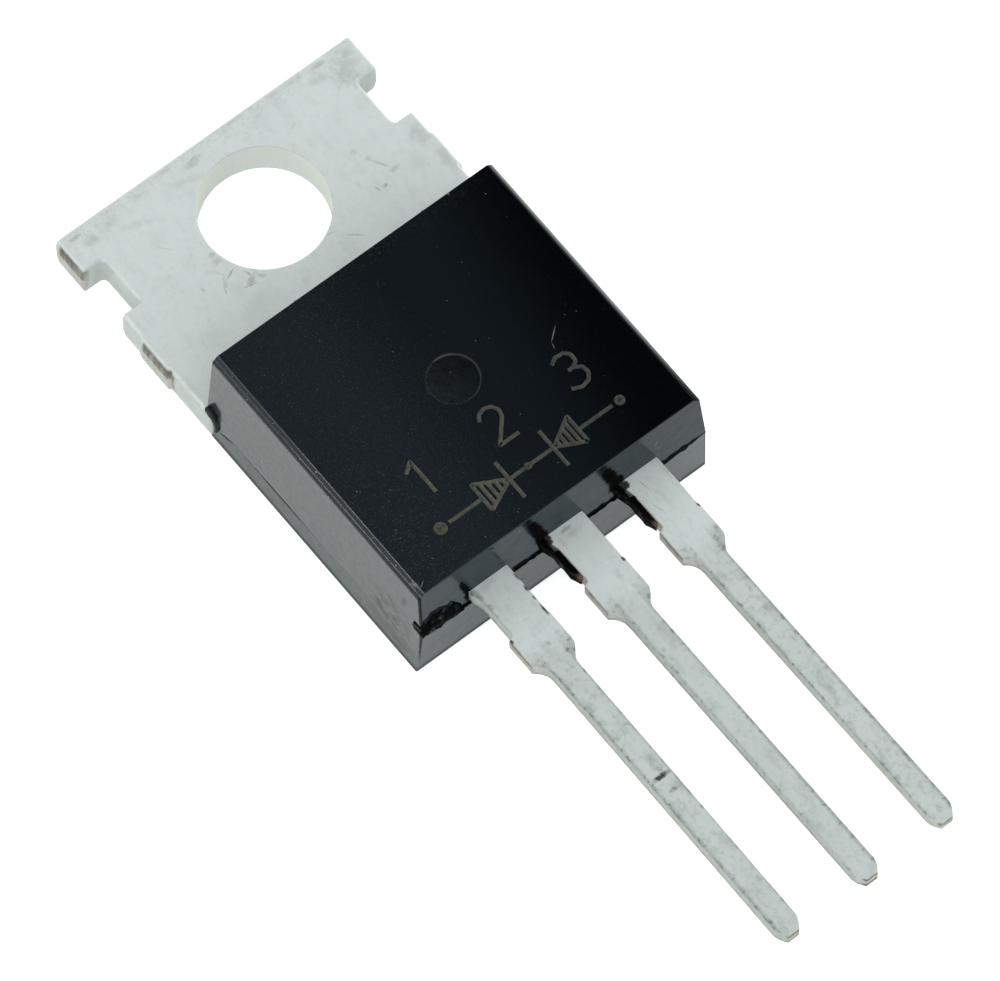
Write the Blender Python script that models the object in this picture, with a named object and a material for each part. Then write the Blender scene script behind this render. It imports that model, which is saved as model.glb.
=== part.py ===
"""A dual Schottky rectifier in a moulded three-lead power package with a screw tab.

The frame: X runs across the part, with the left lead at -X. +Y runs from the leads to the screw tab.
+Z points away from the heat sink, and z = 0 is the bare back of the tab, on which the part lies.
y = 0 is the middle of the moulded body. Distances along a lead are counted from the body's front.
"""
import math

import bmesh
import bpy
from mathutils import Vector

MM = 0.001

# Width over the tab's ears, which the shoulders, the die pad and the body follow
PACKAGE_WIDTH = 10.09 * MM

# Gap between the moulding and the metal in it
CLEARANCE = 0.02 * MM

# Moulded body
BODY_LENGTH = 9.106 * MM
BODY_SETBACK = 0.10 * MM
BODY_HEIGHT = 4.342 * MM
SIDE_DRAFT = math.radians(2.7)
FRONT_DRAFT = math.radians(6.1)
BACK_DRAFT = math.radians(2.8)
BASE_DRAFT = math.radians(2.4)
TOP_CHAMFER = 0.184 * MM
BODY_EDGE_RADIUS = 0.05 * MM
EJECTOR_DIAMETER = 1.5 * MM
EJECTOR_DEPTH = 0.04 * MM
EJECTOR_PLACE = (-0.06 * MM, 0.12 * MM)

# Epoxy that squeezed out where the mould closed on the leads
FIN_THICKNESS = 0.05 * MM
FIN_REACH = 0.055 * MM
FIN_STEP = 0.15 * MM
FIN_RAGGEDNESS = 0.45
STRIP_ROOT = 0.87 * MM
STRIP_WIDTH = 0.71 * MM
STRIP_FULL_LENGTH = 1.17 * MM
STRIP_LENGTH = 1.48 * MM

# Stub of the mould's gate, broken off above the parting line at the left front corner
GATE_WIDTH = 1.36 * MM
GATE_WRAP = 0.3 * MM
GATE_PROUD = 0.11 * MM
GATE_SIDE_PROUD = 0.04 * MM
GATE_RAGGEDNESS = 0.2
GATE_HEIGHTS = [step * MM for step in (0.3, 0.58, 0.62, 0.76, 0.7, 0.73, 0.62, 0.55, 0.6, 0.36, 0.16)]

# Hook of flash on the left side round the tab's shoulder: distance from the body's back, height
HOOK = [
    (0.04 * MM, 1.30 * MM),
    (0.09 * MM, 1.57 * MM),
    (0.21 * MM, 1.77 * MM),
    (0.36 * MM, 1.72 * MM),
    (0.48 * MM, 1.58 * MM),
    (0.51 * MM, 1.13 * MM),
    (0.52 * MM, 0.64 * MM),
    (0.45 * MM, 0.60 * MM),
    (0.39 * MM, 1.03 * MM),
    (0.32 * MM, 1.20 * MM),
    (0.15 * MM, 1.25 * MM),
]

# Heat-sink tab
TAB_THICKNESS = 1.296 * MM
TAB_REACH = 6.52 * MM
EAR_LENGTH = 1.30 * MM
NOTCH_LENGTH = 1.57 * MM
NOTCH_DEPTH = 0.68 * MM
NOTCH_RADIUS = 0.1 * MM
TAB_CORNER = 0.12 * MM
SHARP_CORNER = 0.02 * MM
SHOULDER_SETBACK = 0.06 * MM
SHOULDER_COVER = 0.33 * MM
TIE_BAR_PROUD = 0.07 * MM
TIE_BAR_LENGTH = 1.2 * MM
TIE_BAR_INSET = 0.9 * MM
ROLL_OVER_REACH = 0.14 * MM
ROLL_OVER_DEPTH = 0.40 * MM
BREAK_OUT_REACH = 0.06 * MM
BREAK_OUT_DEPTH = 0.40 * MM
SCREW_HOLE_DIAMETER = 3.68 * MM
SCREW_HOLE_FROM_END = 2.76 * MM
HOLE_ROLL_OVER = 0.06 * MM
PAD_COVER = 0.945 * MM
PAD_FRONT_Y = -1.85 * MM
PAD_CORNER = 0.3 * MM

# Leads
LEAD_PITCH = 2.54 * MM
LEAD_THICKNESS = 0.443 * MM
LEAD_UNDERSIDE = 2.439 * MM
LEAD_LENGTH = 12.916 * MM
STUB_WIDTH = 1.366 * MM
STUB_START = 1.65 * MM
STUB_LENGTH = 1.06 * MM
STUB_STEP = 0.07 * MM
ROOT_WIDTH = 1.31 * MM
LEFT_RECESS = 0.14 * MM
RIGHT_RECESS = 0.03 * MM
RECESS_EASE = 0.45 * MM
THIN_WIDTH = 0.756 * MM
LEFT_TAPER = 0.65 * MM
RIGHT_TAPER = 0.60 * MM
TIP_WIDTH = 0.373 * MM
TIP_LENGTH = 0.40 * MM
LEAD_EDGE_RADIUS = 0.045 * MM
THIN_STEP = 1.1 * MM
LEFT_TIP_BEND = (-0.047 * MM, 0.013 * MM)
CENTRE_TIP_BEND = (0.054 * MM, -0.067 * MM)
RIGHT_TIP_BEND = (0.051 * MM, 0.085 * MM)

# Inside the body: bond posts, the joggle of the centre lead, dies and wires
POST_WIDTH = 2.6 * MM
POST_END_Y = -1.95 * MM
POST_LENGTH = 1.8 * MM
POST_CORNER = 0.15 * MM
NECK_WIDTH = 0.95 * MM
JOGGLE_FOOT = 0.40 * MM
JOGGLE_RUN = 1.05 * MM
JOGGLE_RADIUS = 0.45 * MM
JOGGLE_ROOT = 0.25 * MM
PAD_LIP = 0.06 * MM
DIE_SIDE = 2.3 * MM
DIE_THICKNESS = 0.28 * MM
DIE_Y = 0.6 * MM
SOLDER_THICKNESS = 0.06 * MM
SOLDER_FILLET = 0.1 * MM
WIRE_DIAMETER = 0.38 * MM
WIRE_SPACING = 0.9 * MM
WIRE_FOOT_LENGTH = 0.6 * MM
WIRE_FOOT_WIDTH = 0.54 * MM
WIRE_FOOT_HEIGHT = 0.22 * MM
WIRE_LOOP_RISE = 1.75 * MM
WIRE_LOOP_DROP = 1.05 * MM
WIRE_LOOP_RUN = 0.85 * MM

HOLE_SEGMENTS = 72
ARC_STEPS = 4
WIRE_SIDES = 10
WIRE_STEPS = 12

BODY_WIDTH = PACKAGE_WIDTH - 2 * BODY_SETBACK
SHOULDER_WIDTH = PACKAGE_WIDTH - 2 * SHOULDER_SETBACK
PAD_WIDTH = PACKAGE_WIDTH - 2 * PAD_COVER
DIE_PLACE = (PAD_WIDTH / 4, DIE_Y)
LEAD_TOP = LEAD_UNDERSIDE + LEAD_THICKNESS
FRONT_Y = -BODY_LENGTH / 2
BACK_Y = BODY_LENGTH / 2 + (BODY_HEIGHT - TAB_THICKNESS) * math.tan(BACK_DRAFT)
TAB_END_Y = BACK_Y + TAB_REACH
HOLE_Y = TAB_END_Y - SCREW_HOLE_FROM_END


def clear_scene():
    for item in list(bpy.data.objects):
        bpy.data.objects.remove(item, do_unlink=True)


def material(name, colour, roughness, metallic):
    """A plain Principled finish."""
    made = bpy.data.materials.new(name)
    made.use_nodes = True
    shader = made.node_tree.nodes["Principled BSDF"]
    shader.inputs["Base Color"].default_value = (*colour, 1)
    shader.inputs["Roughness"].default_value = roughness
    shader.inputs["Metallic"].default_value = metallic
    made.diffuse_color = (*colour, 1)
    return made


def add_object(name, bm, finish=None):
    """Puts a finished bmesh into the scene, with round stretches shaded smooth."""
    bmesh.ops.recalc_face_normals(bm, faces=bm.faces)
    mesh = bpy.data.meshes.new(name)
    bm.to_mesh(mesh)
    bm.free()
    mesh.shade_smooth()
    mesh.set_sharp_from_angle(angle=math.radians(30))
    if finish:
        mesh.materials.append(finish)
    item = bpy.data.objects.new(name, mesh)
    bpy.context.scene.collection.objects.link(item)
    return item


def add_cutter(name, bm):
    """A guide solid that only shapes other pieces."""
    item = add_object(name, bm)
    item.hide_render = True
    item.display_type = "WIRE"
    return item


def shape_with(item, other, operation):
    """Joins another solid to the item, or cuts it away."""
    step = item.modifiers.new(f"{operation.lower()} {other.name}", "BOOLEAN")
    step.operation = operation
    step.solver = "EXACT"
    step.object = other


def round_edges(item, radius, least_angle):
    """Rounds every edge that turns by more than the least angle."""
    step = item.modifiers.new("rounded edges", "BEVEL")
    step.width = radius
    step.segments = 2
    step.limit_method = "ANGLE"
    step.angle_limit = math.radians(least_angle)


def loft(rings):
    """A closed solid through rings of equally many points, capped at both ends."""
    bm = bmesh.new()
    loops = [[bm.verts.new(point) for point in ring] for ring in rings]
    count = len(loops[0])
    for near, far in zip(loops, loops[1:]):
        for i in range(count):
            j = (i + 1) % count
            bm.faces.new((near[i], near[j], far[j], far[i]))
    bm.faces.new(list(reversed(loops[0])))
    bm.faces.new(loops[-1])
    return bm


def plate(outline, low, high):
    """A flat plate: an outline of (x, y) points between two heights."""
    return loft([[(x, y, z) for x, y in outline] for z in (low, high)])


def rounded(corners):
    """An outline from (x, y, radius) corners, each corner with a radius turned into an arc."""
    points = []
    for index, (x, y, radius) in enumerate(corners):
        corner = Vector((x, y))
        if radius == 0:
            points.append(corner)
            continue
        back = (Vector(corners[index - 1][:2]) - corner).normalized()
        ahead = (Vector(corners[(index + 1) % len(corners)][:2]) - corner).normalized()
        half_angle = back.angle(ahead) / 2
        centre = corner + (back + ahead).normalized() * radius / math.sin(half_angle)
        start = (corner + back * radius / math.tan(half_angle) - centre).normalized()
        end = (corner + ahead * radius / math.tan(half_angle) - centre).normalized()
        for step in range(ARC_STEPS + 1):
            points.append(centre + start.slerp(end, step / ARC_STEPS) * radius)
    return points


def inset(corners, amount):
    """Counter-clockwise (x, y, radius) corners moved inwards: hollow corners open, the others tighten."""
    made = []
    for index, (x, y, radius) in enumerate(corners):
        point = Vector((x, y))
        before = (point - Vector(corners[index - 1][:2])).normalized()
        after = (Vector(corners[(index + 1) % len(corners)][:2]) - point).normalized()
        inward = Vector((-before.y, before.x))
        bisector = (inward + Vector((-after.y, after.x))).normalized()
        spot = point + bisector * amount / bisector.dot(inward)
        if radius and before.cross(after) < 0:
            radius += amount
        elif radius:
            radius = max(radius - amount, SHARP_CORNER)
        made.append((spot.x, spot.y, radius))
    return made


def punched_plate(corners, grow=0):
    """The stamped sheet: its upper rim is rolled over by the punch, and the break draws in below."""
    rows = [(BREAK_OUT_REACH, -grow), (BREAK_OUT_REACH / 2, BREAK_OUT_DEPTH / 2), (0, BREAK_OUT_DEPTH)]
    for step in range(ARC_STEPS + 1):
        turn = math.radians(90) * step / ARC_STEPS
        z = TAB_THICKNESS - ROLL_OVER_DEPTH * (1 - math.sin(turn))
        rows.append((ROLL_OVER_REACH * (1 - math.cos(turn)), z))
    if grow:
        rows.append((ROLL_OVER_REACH, TAB_THICKNESS + grow))
    return loft([[(p.x, p.y, z) for p in rounded(inset(corners, amount - grow))] for amount, z in rows])


def mirrored(right_side):
    """A whole outline from its corners at +X, which run from -Y to +Y."""
    return right_side + [(-x, y, radius) for x, y, radius in reversed(right_side)]


def ease(start, end, share):
    """A smooth change from start to end as share goes from 0 to 1."""
    t = min(max(share, 0), 1)
    return start + (end - start) * t * t * (3 - 2 * t)


# Tab


def tab_corners():
    """The stamped outline's corners: die pad, shoulders with sheared tie-bar stubs, notches and ears."""
    shoulder_y = BACK_Y - SHOULDER_COVER
    ear_y = TAB_END_Y - EAR_LENGTH
    notch_y = ear_y - NOTCH_LENGTH
    tie_end = notch_y - TIE_BAR_INSET
    tie_start = tie_end - TIE_BAR_LENGTH
    pad, shoulder, ear = PAD_WIDTH / 2, SHOULDER_WIDTH / 2, PACKAGE_WIDTH / 2
    tie = shoulder + TIE_BAR_PROUD
    notch = ear - NOTCH_DEPTH
    return mirrored([
        (pad, PAD_FRONT_Y, PAD_CORNER),
        (pad, shoulder_y, TAB_CORNER),
        (shoulder, shoulder_y, TAB_CORNER),
        (shoulder, tie_start - TIE_BAR_PROUD, 0),
        (tie, tie_start, 0),
        (tie, tie_end, 0),
        (shoulder, tie_end + TIE_BAR_PROUD, 0),
        (shoulder, notch_y, TAB_CORNER),
        (notch, notch_y, NOTCH_RADIUS),
        (notch, ear_y, NOTCH_RADIUS),
        (ear, ear_y, TAB_CORNER),
        (ear, TAB_END_Y, TAB_CORNER),
    ])


def screw_hole_cutter():
    """A turned plug with a flared upper end, which leaves the stamped hole's rolled-over rim."""
    radius = SCREW_HOLE_DIAMETER / 2
    over = HOLE_ROLL_OVER
    profile = [(radius, -over)]
    for step in range(ARC_STEPS + 1):
        turn = math.radians(90) * step / ARC_STEPS
        profile.append((radius + over * (1 - math.cos(turn)), TAB_THICKNESS - over * (1 - math.sin(turn))))
    profile.append((radius + over, TAB_THICKNESS + over))
    rings = []
    for reach, z in profile:
        ring = []
        for step in range(HOLE_SEGMENTS):
            turn = math.tau * step / HOLE_SEGMENTS
            ring.append((reach * math.cos(turn), HOLE_Y + reach * math.sin(turn), z))
        rings.append(ring)
    return add_cutter("screw_hole_cutter", loft(rings))


# Leads: a section is (y, z, pitch of the sheet, left half-width, right half-width)


def left_edge(along):
    """Half-width of a lead on its left side, by the distance from the body's front."""
    stub = STUB_WIDTH / 2
    recess = stub - LEFT_RECESS
    stub_end = STUB_START + STUB_LENGTH
    if along <= STUB_START:
        return ease(ROOT_WIDTH / 2, recess, along / RECESS_EASE)
    if along <= stub_end:
        return stub
    share = min((along - stub_end) / LEFT_TAPER, 1)
    return stub - (stub - THIN_WIDTH / 2) * (1 - (1 - share) ** 3)


def right_edge(along):
    """The same on its right side, where the taper is an even curve."""
    stub = STUB_WIDTH / 2
    if along <= STUB_START:
        return min(ROOT_WIDTH / 2, stub - RIGHT_RECESS)
    return ease(stub, THIN_WIDTH / 2, (along - STUB_START - STUB_LENGTH) / RIGHT_TAPER)


def tip_share(along):
    """How much of its width a lead keeps in its sheared point."""
    inside = max(along - (LEAD_LENGTH - TIP_LENGTH), 0) / TIP_LENGTH
    return 1 - (1 - TIP_WIDTH / THIN_WIDTH) * inside ** 1.6


def outer_places():
    """The distances from the body at which a lead's outer part needs a section."""
    stub_end = STUB_START + STUB_LENGTH
    thin_start = stub_end + max(LEFT_TAPER, RIGHT_TAPER)
    tip_start = LEAD_LENGTH - TIP_LENGTH
    places = [RECESS_EASE * share for share in (0, 0.3, 0.6, 1)]
    places += [STUB_START, STUB_START + STUB_STEP, stub_end]
    places += [stub_end + (thin_start - stub_end) * step / 8 for step in range(1, 8)]
    count = max(round((tip_start - thin_start) / THIN_STEP), 1)
    places += [thin_start + (tip_start - thin_start) * step / count for step in range(count + 1)]
    places += [tip_start + TIP_LENGTH * step / 4 for step in range(1, 5)]
    return places


def outer_sections():
    """Sections of the part of a lead that stands out of the body."""
    middle = LEAD_UNDERSIDE + LEAD_THICKNESS / 2
    made = []
    for along in outer_places():
        keep = tip_share(along)
        made.append((FRONT_Y - along, middle, 0, left_edge(along) * keep, right_edge(along) * keep))
    return made


def post_sections():
    """Sections of an anode lead inside the body: the bond post, its neck and the root."""
    middle = LEAD_UNDERSIDE + LEAD_THICKNESS / 2
    post, neck = POST_WIDTH / 2, NECK_WIDTH / 2
    post_end = POST_END_Y - POST_LENGTH
    room = post_end - FRONT_Y
    rows = [
        (POST_END_Y, post - POST_CORNER),
        (POST_END_Y - POST_CORNER, post),
        (post_end + POST_CORNER, post),
        (post_end, neck),
        (post_end - room * 0.35, neck),
    ]
    made = [(y, middle, 0, half, half) for y, half in rows]
    made.append((post_end - room * 0.65, middle, 0, left_edge(0), right_edge(0)))
    return made


def joggle_sections():
    """Sections of the centre lead inside the body, from within the pad up to the leads' height."""
    low = TAB_THICKNESS - PAD_LIP - LEAD_THICKNESS / 2
    high = LEAD_UNDERSIDE + LEAD_THICKNESS / 2
    foot_y = PAD_FRONT_Y - JOGGLE_FOOT
    path = [
        Vector((PAD_FRONT_Y + JOGGLE_ROOT, low)),
        Vector((foot_y, low)),
        Vector((foot_y - JOGGLE_RUN, high)),
        Vector((foot_y - JOGGLE_RUN - JOGGLE_FOOT, high)),
    ]
    slope = math.atan2(high - low, JOGGLE_RUN)
    reach = JOGGLE_RADIUS * math.tan(slope / 2)
    made = [(path[0].x, path[0].y, 0)]
    for corner, first, last in ((path[1], 0, slope), (path[2], slope, 0)):
        start = corner + Vector((math.cos(first), -math.sin(first))) * reach
        side = 1 if last > first else -1
        centre = start + Vector((math.sin(first), math.cos(first))) * JOGGLE_RADIUS * side
        for step in range(ARC_STEPS + 1):
            pitch = first + (last - first) * step / ARC_STEPS
            spot = centre - Vector((math.sin(pitch), math.cos(pitch))) * JOGGLE_RADIUS * side
            made.append((spot.x, spot.y, pitch))
    return [(y, z, pitch, left_edge(0), right_edge(0)) for y, z, pitch in made]


def sheet_ring(x, section, grow, edge, bend):
    """One cross-section of a lead: a rectangle of sheet whose upper edges are rolled over by the punch."""
    y, z, pitch, left, right = section
    half = LEAD_THICKNESS / 2 + grow
    left, right = left + grow, right + grow
    corner = [(-left, -half), (right, -half)]
    if edge:
        for centre, start in ((right - edge, 0), (-left + edge, 90)):
            for step in range(3):
                turn = math.radians(start + 45 * step)
                corner.append((centre + edge * math.cos(turn), half - edge + edge * math.sin(turn)))
    else:
        corner += [(right, half), (-left, half)]
    share = max(FRONT_Y - y, 0) / LEAD_LENGTH
    shift_x, shift_z = bend[0] * share ** 2, bend[1] * share ** 2
    lean, lift = math.sin(pitch), math.cos(pitch)
    return [(x + u + shift_x, y + w * lean, z + w * lift + shift_z) for u, w in corner]


def strip(x, sections, bend, grow=0, edge=LEAD_EDGE_RADIUS):
    """A lead lofted through its sections."""
    return loft([sheet_ring(x, section, grow, edge, bend) for section in sections])


def grown_sections(sections, inner_end):
    """The sections of the hole that a lead leaves in the body, run on past the body's front."""
    inside = [section for section in sections if section[0] >= FRONT_Y]
    first = (inside[0][0] + (CLEARANCE if inner_end else 0), *inside[0][1:])
    last = (FRONT_Y - RECESS_EASE, *inside[-1][1:])
    return [first, *inside[1:], last]


# Dies, solder and wires


def block(centre, low, high, bottom, top):
    """A four-sided block whose bottom and top may differ in size."""
    x, y = centre
    rings = []
    for z, side in ((low, bottom), (high, top)):
        half = side / 2
        rings.append([(x - half, y - half, z), (x + half, y - half, z),
                      (x + half, y + half, z), (x - half, y + half, z)])
    return loft(rings)


def solder_block(side, grow=0):
    bottom = DIE_SIDE + 2 * SOLDER_FILLET + 2 * grow
    top = bottom if grow else DIE_SIDE
    low = TAB_THICKNESS - grow
    return block((side * DIE_PLACE[0], DIE_PLACE[1]), low, low + SOLDER_THICKNESS + 2 * grow, bottom, top)


def die_block(side, grow=0):
    low = TAB_THICKNESS + SOLDER_THICKNESS - grow
    width = DIE_SIDE + 2 * grow
    return block((side * DIE_PLACE[0], DIE_PLACE[1]), low, low + DIE_THICKNESS + 2 * grow, width, width)


def wire_path(side, lane):
    """Points (centre, half-width, half-height) of a bond wire from the die's top to the lead's post."""
    die_top = TAB_THICKNESS + SOLDER_THICKNESS + DIE_THICKNESS
    flat = math.cos(math.pi / WIRE_SIDES)
    foot = (WIRE_FOOT_WIDTH / 2, WIRE_FOOT_HEIGHT / 2)
    radius = WIRE_DIAMETER / 2
    offset = lane * WIRE_SPACING / 2
    start_x = side * (DIE_PLACE[0] + offset)
    end_x = side * (LEAD_PITCH + offset)
    start = Vector((start_x, DIE_PLACE[1], die_top + foot[1] * flat))
    end = Vector((end_x, POST_END_Y - POST_LENGTH * 0.3, LEAD_TOP + foot[1] * flat))
    rise = start + Vector((0, -WIRE_LOOP_RUN, WIRE_LOOP_RISE))
    drop = end + Vector((0, WIRE_LOOP_RUN, WIRE_LOOP_DROP))
    made = [(start + Vector((0, WIRE_FOOT_LENGTH, 0)), *foot), (start, *foot)]
    for step in range(1, WIRE_STEPS):
        t = step / WIRE_STEPS
        s = 1 - t
        spot = start * s ** 3 + rise * 3 * s * s * t + drop * 3 * s * t * t + end * t ** 3
        round_share = min(step, WIRE_STEPS - step, 2) / 2
        made.append((spot, *[size + (radius - size) * round_share for size in foot]))
    made += [(end, *foot), (end - Vector((0, WIRE_FOOT_LENGTH, 0)), *foot)]
    return made


def wire(side, lane, grow=0):
    """A wire with flattened wedge-bonded feet, lofted along its path."""
    path = wire_path(side, lane)
    if grow:
        path[0] = (path[0][0] + Vector((0, grow, 0)), *path[0][1:])
        path[-1] = (path[-1][0] - Vector((0, grow, 0)), *path[-1][1:])
    rings = []
    for index, (centre, half_width, half_height) in enumerate(path):
        ahead = path[min(index + 1, len(path) - 1)][0] - path[max(index - 1, 0)][0]
        if index in (0, 1, len(path) - 2, len(path) - 1):
            ahead = Vector((0, -1, 0))
        across = ahead.cross(Vector((0, 0, 1))).normalized()
        up = across.cross(ahead).normalized()
        ring = []
        for step in range(WIRE_SIDES):
            turn = math.tau * (step + 0.5) / WIRE_SIDES
            sideways = across * math.sin(turn) * (half_width + grow)
            ring.append(centre + sideways - up * math.cos(turn) * (half_height + grow))
        rings.append(ring)
    return loft(rings)


# Body


def body_section(z):
    """Half-width, front and back of the moulding at a height, by the drafts of the two mould halves."""
    half = BODY_WIDTH / 2 - z * math.tan(SIDE_DRAFT)
    draft = FRONT_DRAFT if z > LEAD_UNDERSIDE else BASE_DRAFT
    front = FRONT_Y + abs(z - LEAD_UNDERSIDE) * math.tan(draft)
    back = BACK_Y - max(z - TAB_THICKNESS, 0) * math.tan(BACK_DRAFT)
    return half, front, back


def body_block():
    """The moulding without its cavities: four drafted sides and the chamfers along the top."""
    rings = []
    for z in (0, TAB_THICKNESS, LEAD_UNDERSIDE, BODY_HEIGHT - TOP_CHAMFER, BODY_HEIGHT):
        half, front, back = body_section(z)
        if z == BODY_HEIGHT:
            half -= TOP_CHAMFER
        rings.append([(-half, front, z), (half, front, z), (half, back, z), (-half, back, z)])
    return loft(rings)


def ragged(place, share):
    """A factor near 1 that wavers along the broken edges of the moulding."""
    return 1 + share * (math.sin(place / MM * 11.3) + math.sin(place / MM * 23.1 + 1)) / 2


def parting_fin():
    """The fin along the mould's parting line."""
    top = LEAD_UNDERSIDE - 2 * CLEARANCE
    half = body_section(top)[0]
    count = round(2 * half / FIN_STEP)
    outline = []
    for step in range(count + 1):
        x = -half + 2 * half * step / count
        outline.append((x, FRONT_Y - FIN_REACH * ragged(x, FIN_RAGGEDNESS)))
    inner = FRONT_Y + FIN_REACH
    outline += [(half - FIN_REACH, inner), (-half + FIN_REACH, inner)]
    return plate(outline, top - FIN_THICKNESS, top)


def gate_stub():
    """The broken stub of the mould's gate, lofted along the front and round the corner."""
    low = LEAD_UNDERSIDE - CLEARANCE
    half, front, back = body_section(low)
    rings = []
    for step, height in enumerate(GATE_HEIGHTS):
        x = -half + GATE_WIDTH * step / (len(GATE_HEIGHTS) - 1)
        proud = GATE_PROUD * ragged(x, GATE_RAGGEDNESS)
        inner = front + GATE_PROUD
        if step == 0:
            x -= GATE_SIDE_PROUD
            proud = 0
        if step < 2:
            inner = front + GATE_WRAP
        top_front = body_section(low + height)[1]
        rings.append([
            (x, inner, low),
            (x, front - proud, low),
            (x, front - proud, low + height * 0.4),
            (x, top_front - proud * 0.4, low + height),
            (x, inner + (top_front - front), low + height),
        ])
    return loft(rings)


def flash_hook():
    """Flash round the tab's shoulder, a flat lump on the body's left side as far out as the shoulder."""
    rings = []
    for x in (BODY_WIDTH / 2 - SHOULDER_COVER, SHOULDER_WIDTH / 2):
        rings.append([(-x, BACK_Y - reach, z) for reach, z in HOOK])
    return loft(rings)


def flash_strip(x):
    """Epoxy that filled the recess on a lead's left side and broke off before the dam bar."""
    places = [-RECESS_EASE / 4] + [RECESS_EASE * step / 4 for step in range(5)] + [STRIP_LENGTH]
    inner = [(x - left_edge(along) - CLEARANCE, FRONT_Y - along) for along in places]
    outer = [
        (x - left_edge(STRIP_LENGTH) - 2 * CLEARANCE, FRONT_Y - STRIP_LENGTH),
        (x - STRIP_WIDTH, FRONT_Y - STRIP_FULL_LENGTH),
        (x - STRIP_WIDTH, FRONT_Y - RECESS_EASE),
        (x - STRIP_ROOT, FRONT_Y + RECESS_EASE / 4),
    ]
    return plate(inner + outer, LEAD_UNDERSIDE, LEAD_TOP)


def ejector_cutter():
    """The plug that leaves the ejector pin's shallow round recess."""
    x, y = EJECTOR_PLACE
    rings = []
    for z, radius in ((BODY_HEIGHT - EJECTOR_DEPTH, EJECTOR_DIAMETER / 2 - EJECTOR_DEPTH),
                      (BODY_HEIGHT + EJECTOR_DEPTH, EJECTOR_DIAMETER / 2 + EJECTOR_DEPTH)):
        turns = [math.tau * step / 48 for step in range(48)]
        rings.append([(x + radius * math.cos(turn), y + radius * math.sin(turn), z) for turn in turns])
    return add_cutter("ejector_cutter", loft(rings))


def main():
    clear_scene()
    tinned_copper = material("tinned_copper", (0.56, 0.60, 0.60), 0.38, 1.0)
    epoxy = material("epoxy", (0.012, 0.015, 0.018), 0.35, 0.0)
    silicon = material("silicon", (0.18, 0.19, 0.22), 0.2, 0.6)
    solder = material("solder", (0.42, 0.43, 0.44), 0.45, 1.0)
    aluminium = material("aluminium", (0.72, 0.73, 0.74), 0.3, 1.0)

    tab = add_object("heatsink_tab", punched_plate(tab_corners()), tinned_copper)
    shape_with(tab, screw_hole_cutter(), "DIFFERENCE")
    centre_sections = joggle_sections() + outer_sections()
    centre_strip = add_cutter("centre_lead_strip", strip(0, centre_sections, CENTRE_TIP_BEND))
    shape_with(tab, centre_strip, "UNION")

    anode_sections = post_sections() + outer_sections()
    body = add_object("moulded_body", body_block(), epoxy)
    round_edges(body, BODY_EDGE_RADIUS, 15)
    shape_with(body, add_cutter("fin", parting_fin()), "UNION")
    shape_with(body, add_cutter("gate_stub", gate_stub()), "UNION")
    shape_with(body, add_cutter("flash_hook", flash_hook()), "UNION")
    for name, x in (("centre", 0), ("right", LEAD_PITCH)):
        shape_with(body, add_cutter(f"flash_strip_{name}", flash_strip(x)), "UNION")
    shape_with(body, ejector_cutter(), "DIFFERENCE")
    shape_with(body, add_cutter("tab_room", punched_plate(tab_corners(), CLEARANCE)), "DIFFERENCE")
    room = strip(0, grown_sections(centre_sections, False), (0, 0), CLEARANCE, 0)
    shape_with(body, add_cutter("centre_lead_room", room), "DIFFERENCE")

    for name, side, bend in (("left", -1, LEFT_TIP_BEND), ("right", 1, RIGHT_TIP_BEND)):
        x = side * LEAD_PITCH
        add_object(f"anode_lead_{name}", strip(x, anode_sections, bend), tinned_copper)
        add_object(f"schottky_die_{name}", die_block(side), silicon)
        add_object(f"die_solder_{name}", solder_block(side), solder)
        room = strip(x, grown_sections(anode_sections, True), (0, 0), CLEARANCE, 0)
        shape_with(body, add_cutter(f"lead_room_{name}", room), "DIFFERENCE")
        room = solder_block(side, CLEARANCE)
        shape_with(body, add_cutter(f"solder_room_{name}", room), "DIFFERENCE")
        room = die_block(side, CLEARANCE)
        shape_with(body, add_cutter(f"die_room_{name}", room), "DIFFERENCE")
        for place, lane in (("inner", -1), ("outer", 1)):
            add_object(f"bond_wire_{name}_{place}", wire(side, lane), aluminium)
            room = wire(side, lane, CLEARANCE)
            shape_with(body, add_cutter(f"wire_room_{name}_{place}", room), "DIFFERENCE")


main()
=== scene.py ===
# %% [markdown]
# # A dual Schottky diode in a screw-tab power package
# The solids of the part come from its CAD model and keep their places and sizes. This notebook dresses
# them: tin plating, moulding epoxy, laser marks, dust, and the wear of a part from the parts bin.
# Lengths in the notes are millimetres, while Blender works in metres.

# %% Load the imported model
import math

import bmesh
import bpy
from mathutils import Matrix, Vector, noise


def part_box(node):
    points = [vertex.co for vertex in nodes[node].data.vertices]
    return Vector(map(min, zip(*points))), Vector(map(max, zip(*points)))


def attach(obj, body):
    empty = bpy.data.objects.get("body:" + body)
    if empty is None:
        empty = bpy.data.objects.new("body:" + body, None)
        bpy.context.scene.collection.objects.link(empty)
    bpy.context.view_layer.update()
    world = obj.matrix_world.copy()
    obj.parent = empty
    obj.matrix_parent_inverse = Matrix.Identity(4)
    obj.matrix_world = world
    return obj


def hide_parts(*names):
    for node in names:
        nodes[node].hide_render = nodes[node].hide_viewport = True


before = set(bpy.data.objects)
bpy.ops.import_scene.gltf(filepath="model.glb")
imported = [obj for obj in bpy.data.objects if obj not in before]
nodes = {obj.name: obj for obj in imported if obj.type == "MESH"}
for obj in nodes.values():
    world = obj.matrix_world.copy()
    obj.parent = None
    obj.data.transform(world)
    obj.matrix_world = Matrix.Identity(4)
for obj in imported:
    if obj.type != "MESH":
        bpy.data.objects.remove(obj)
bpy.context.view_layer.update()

MM = 0.001
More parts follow.
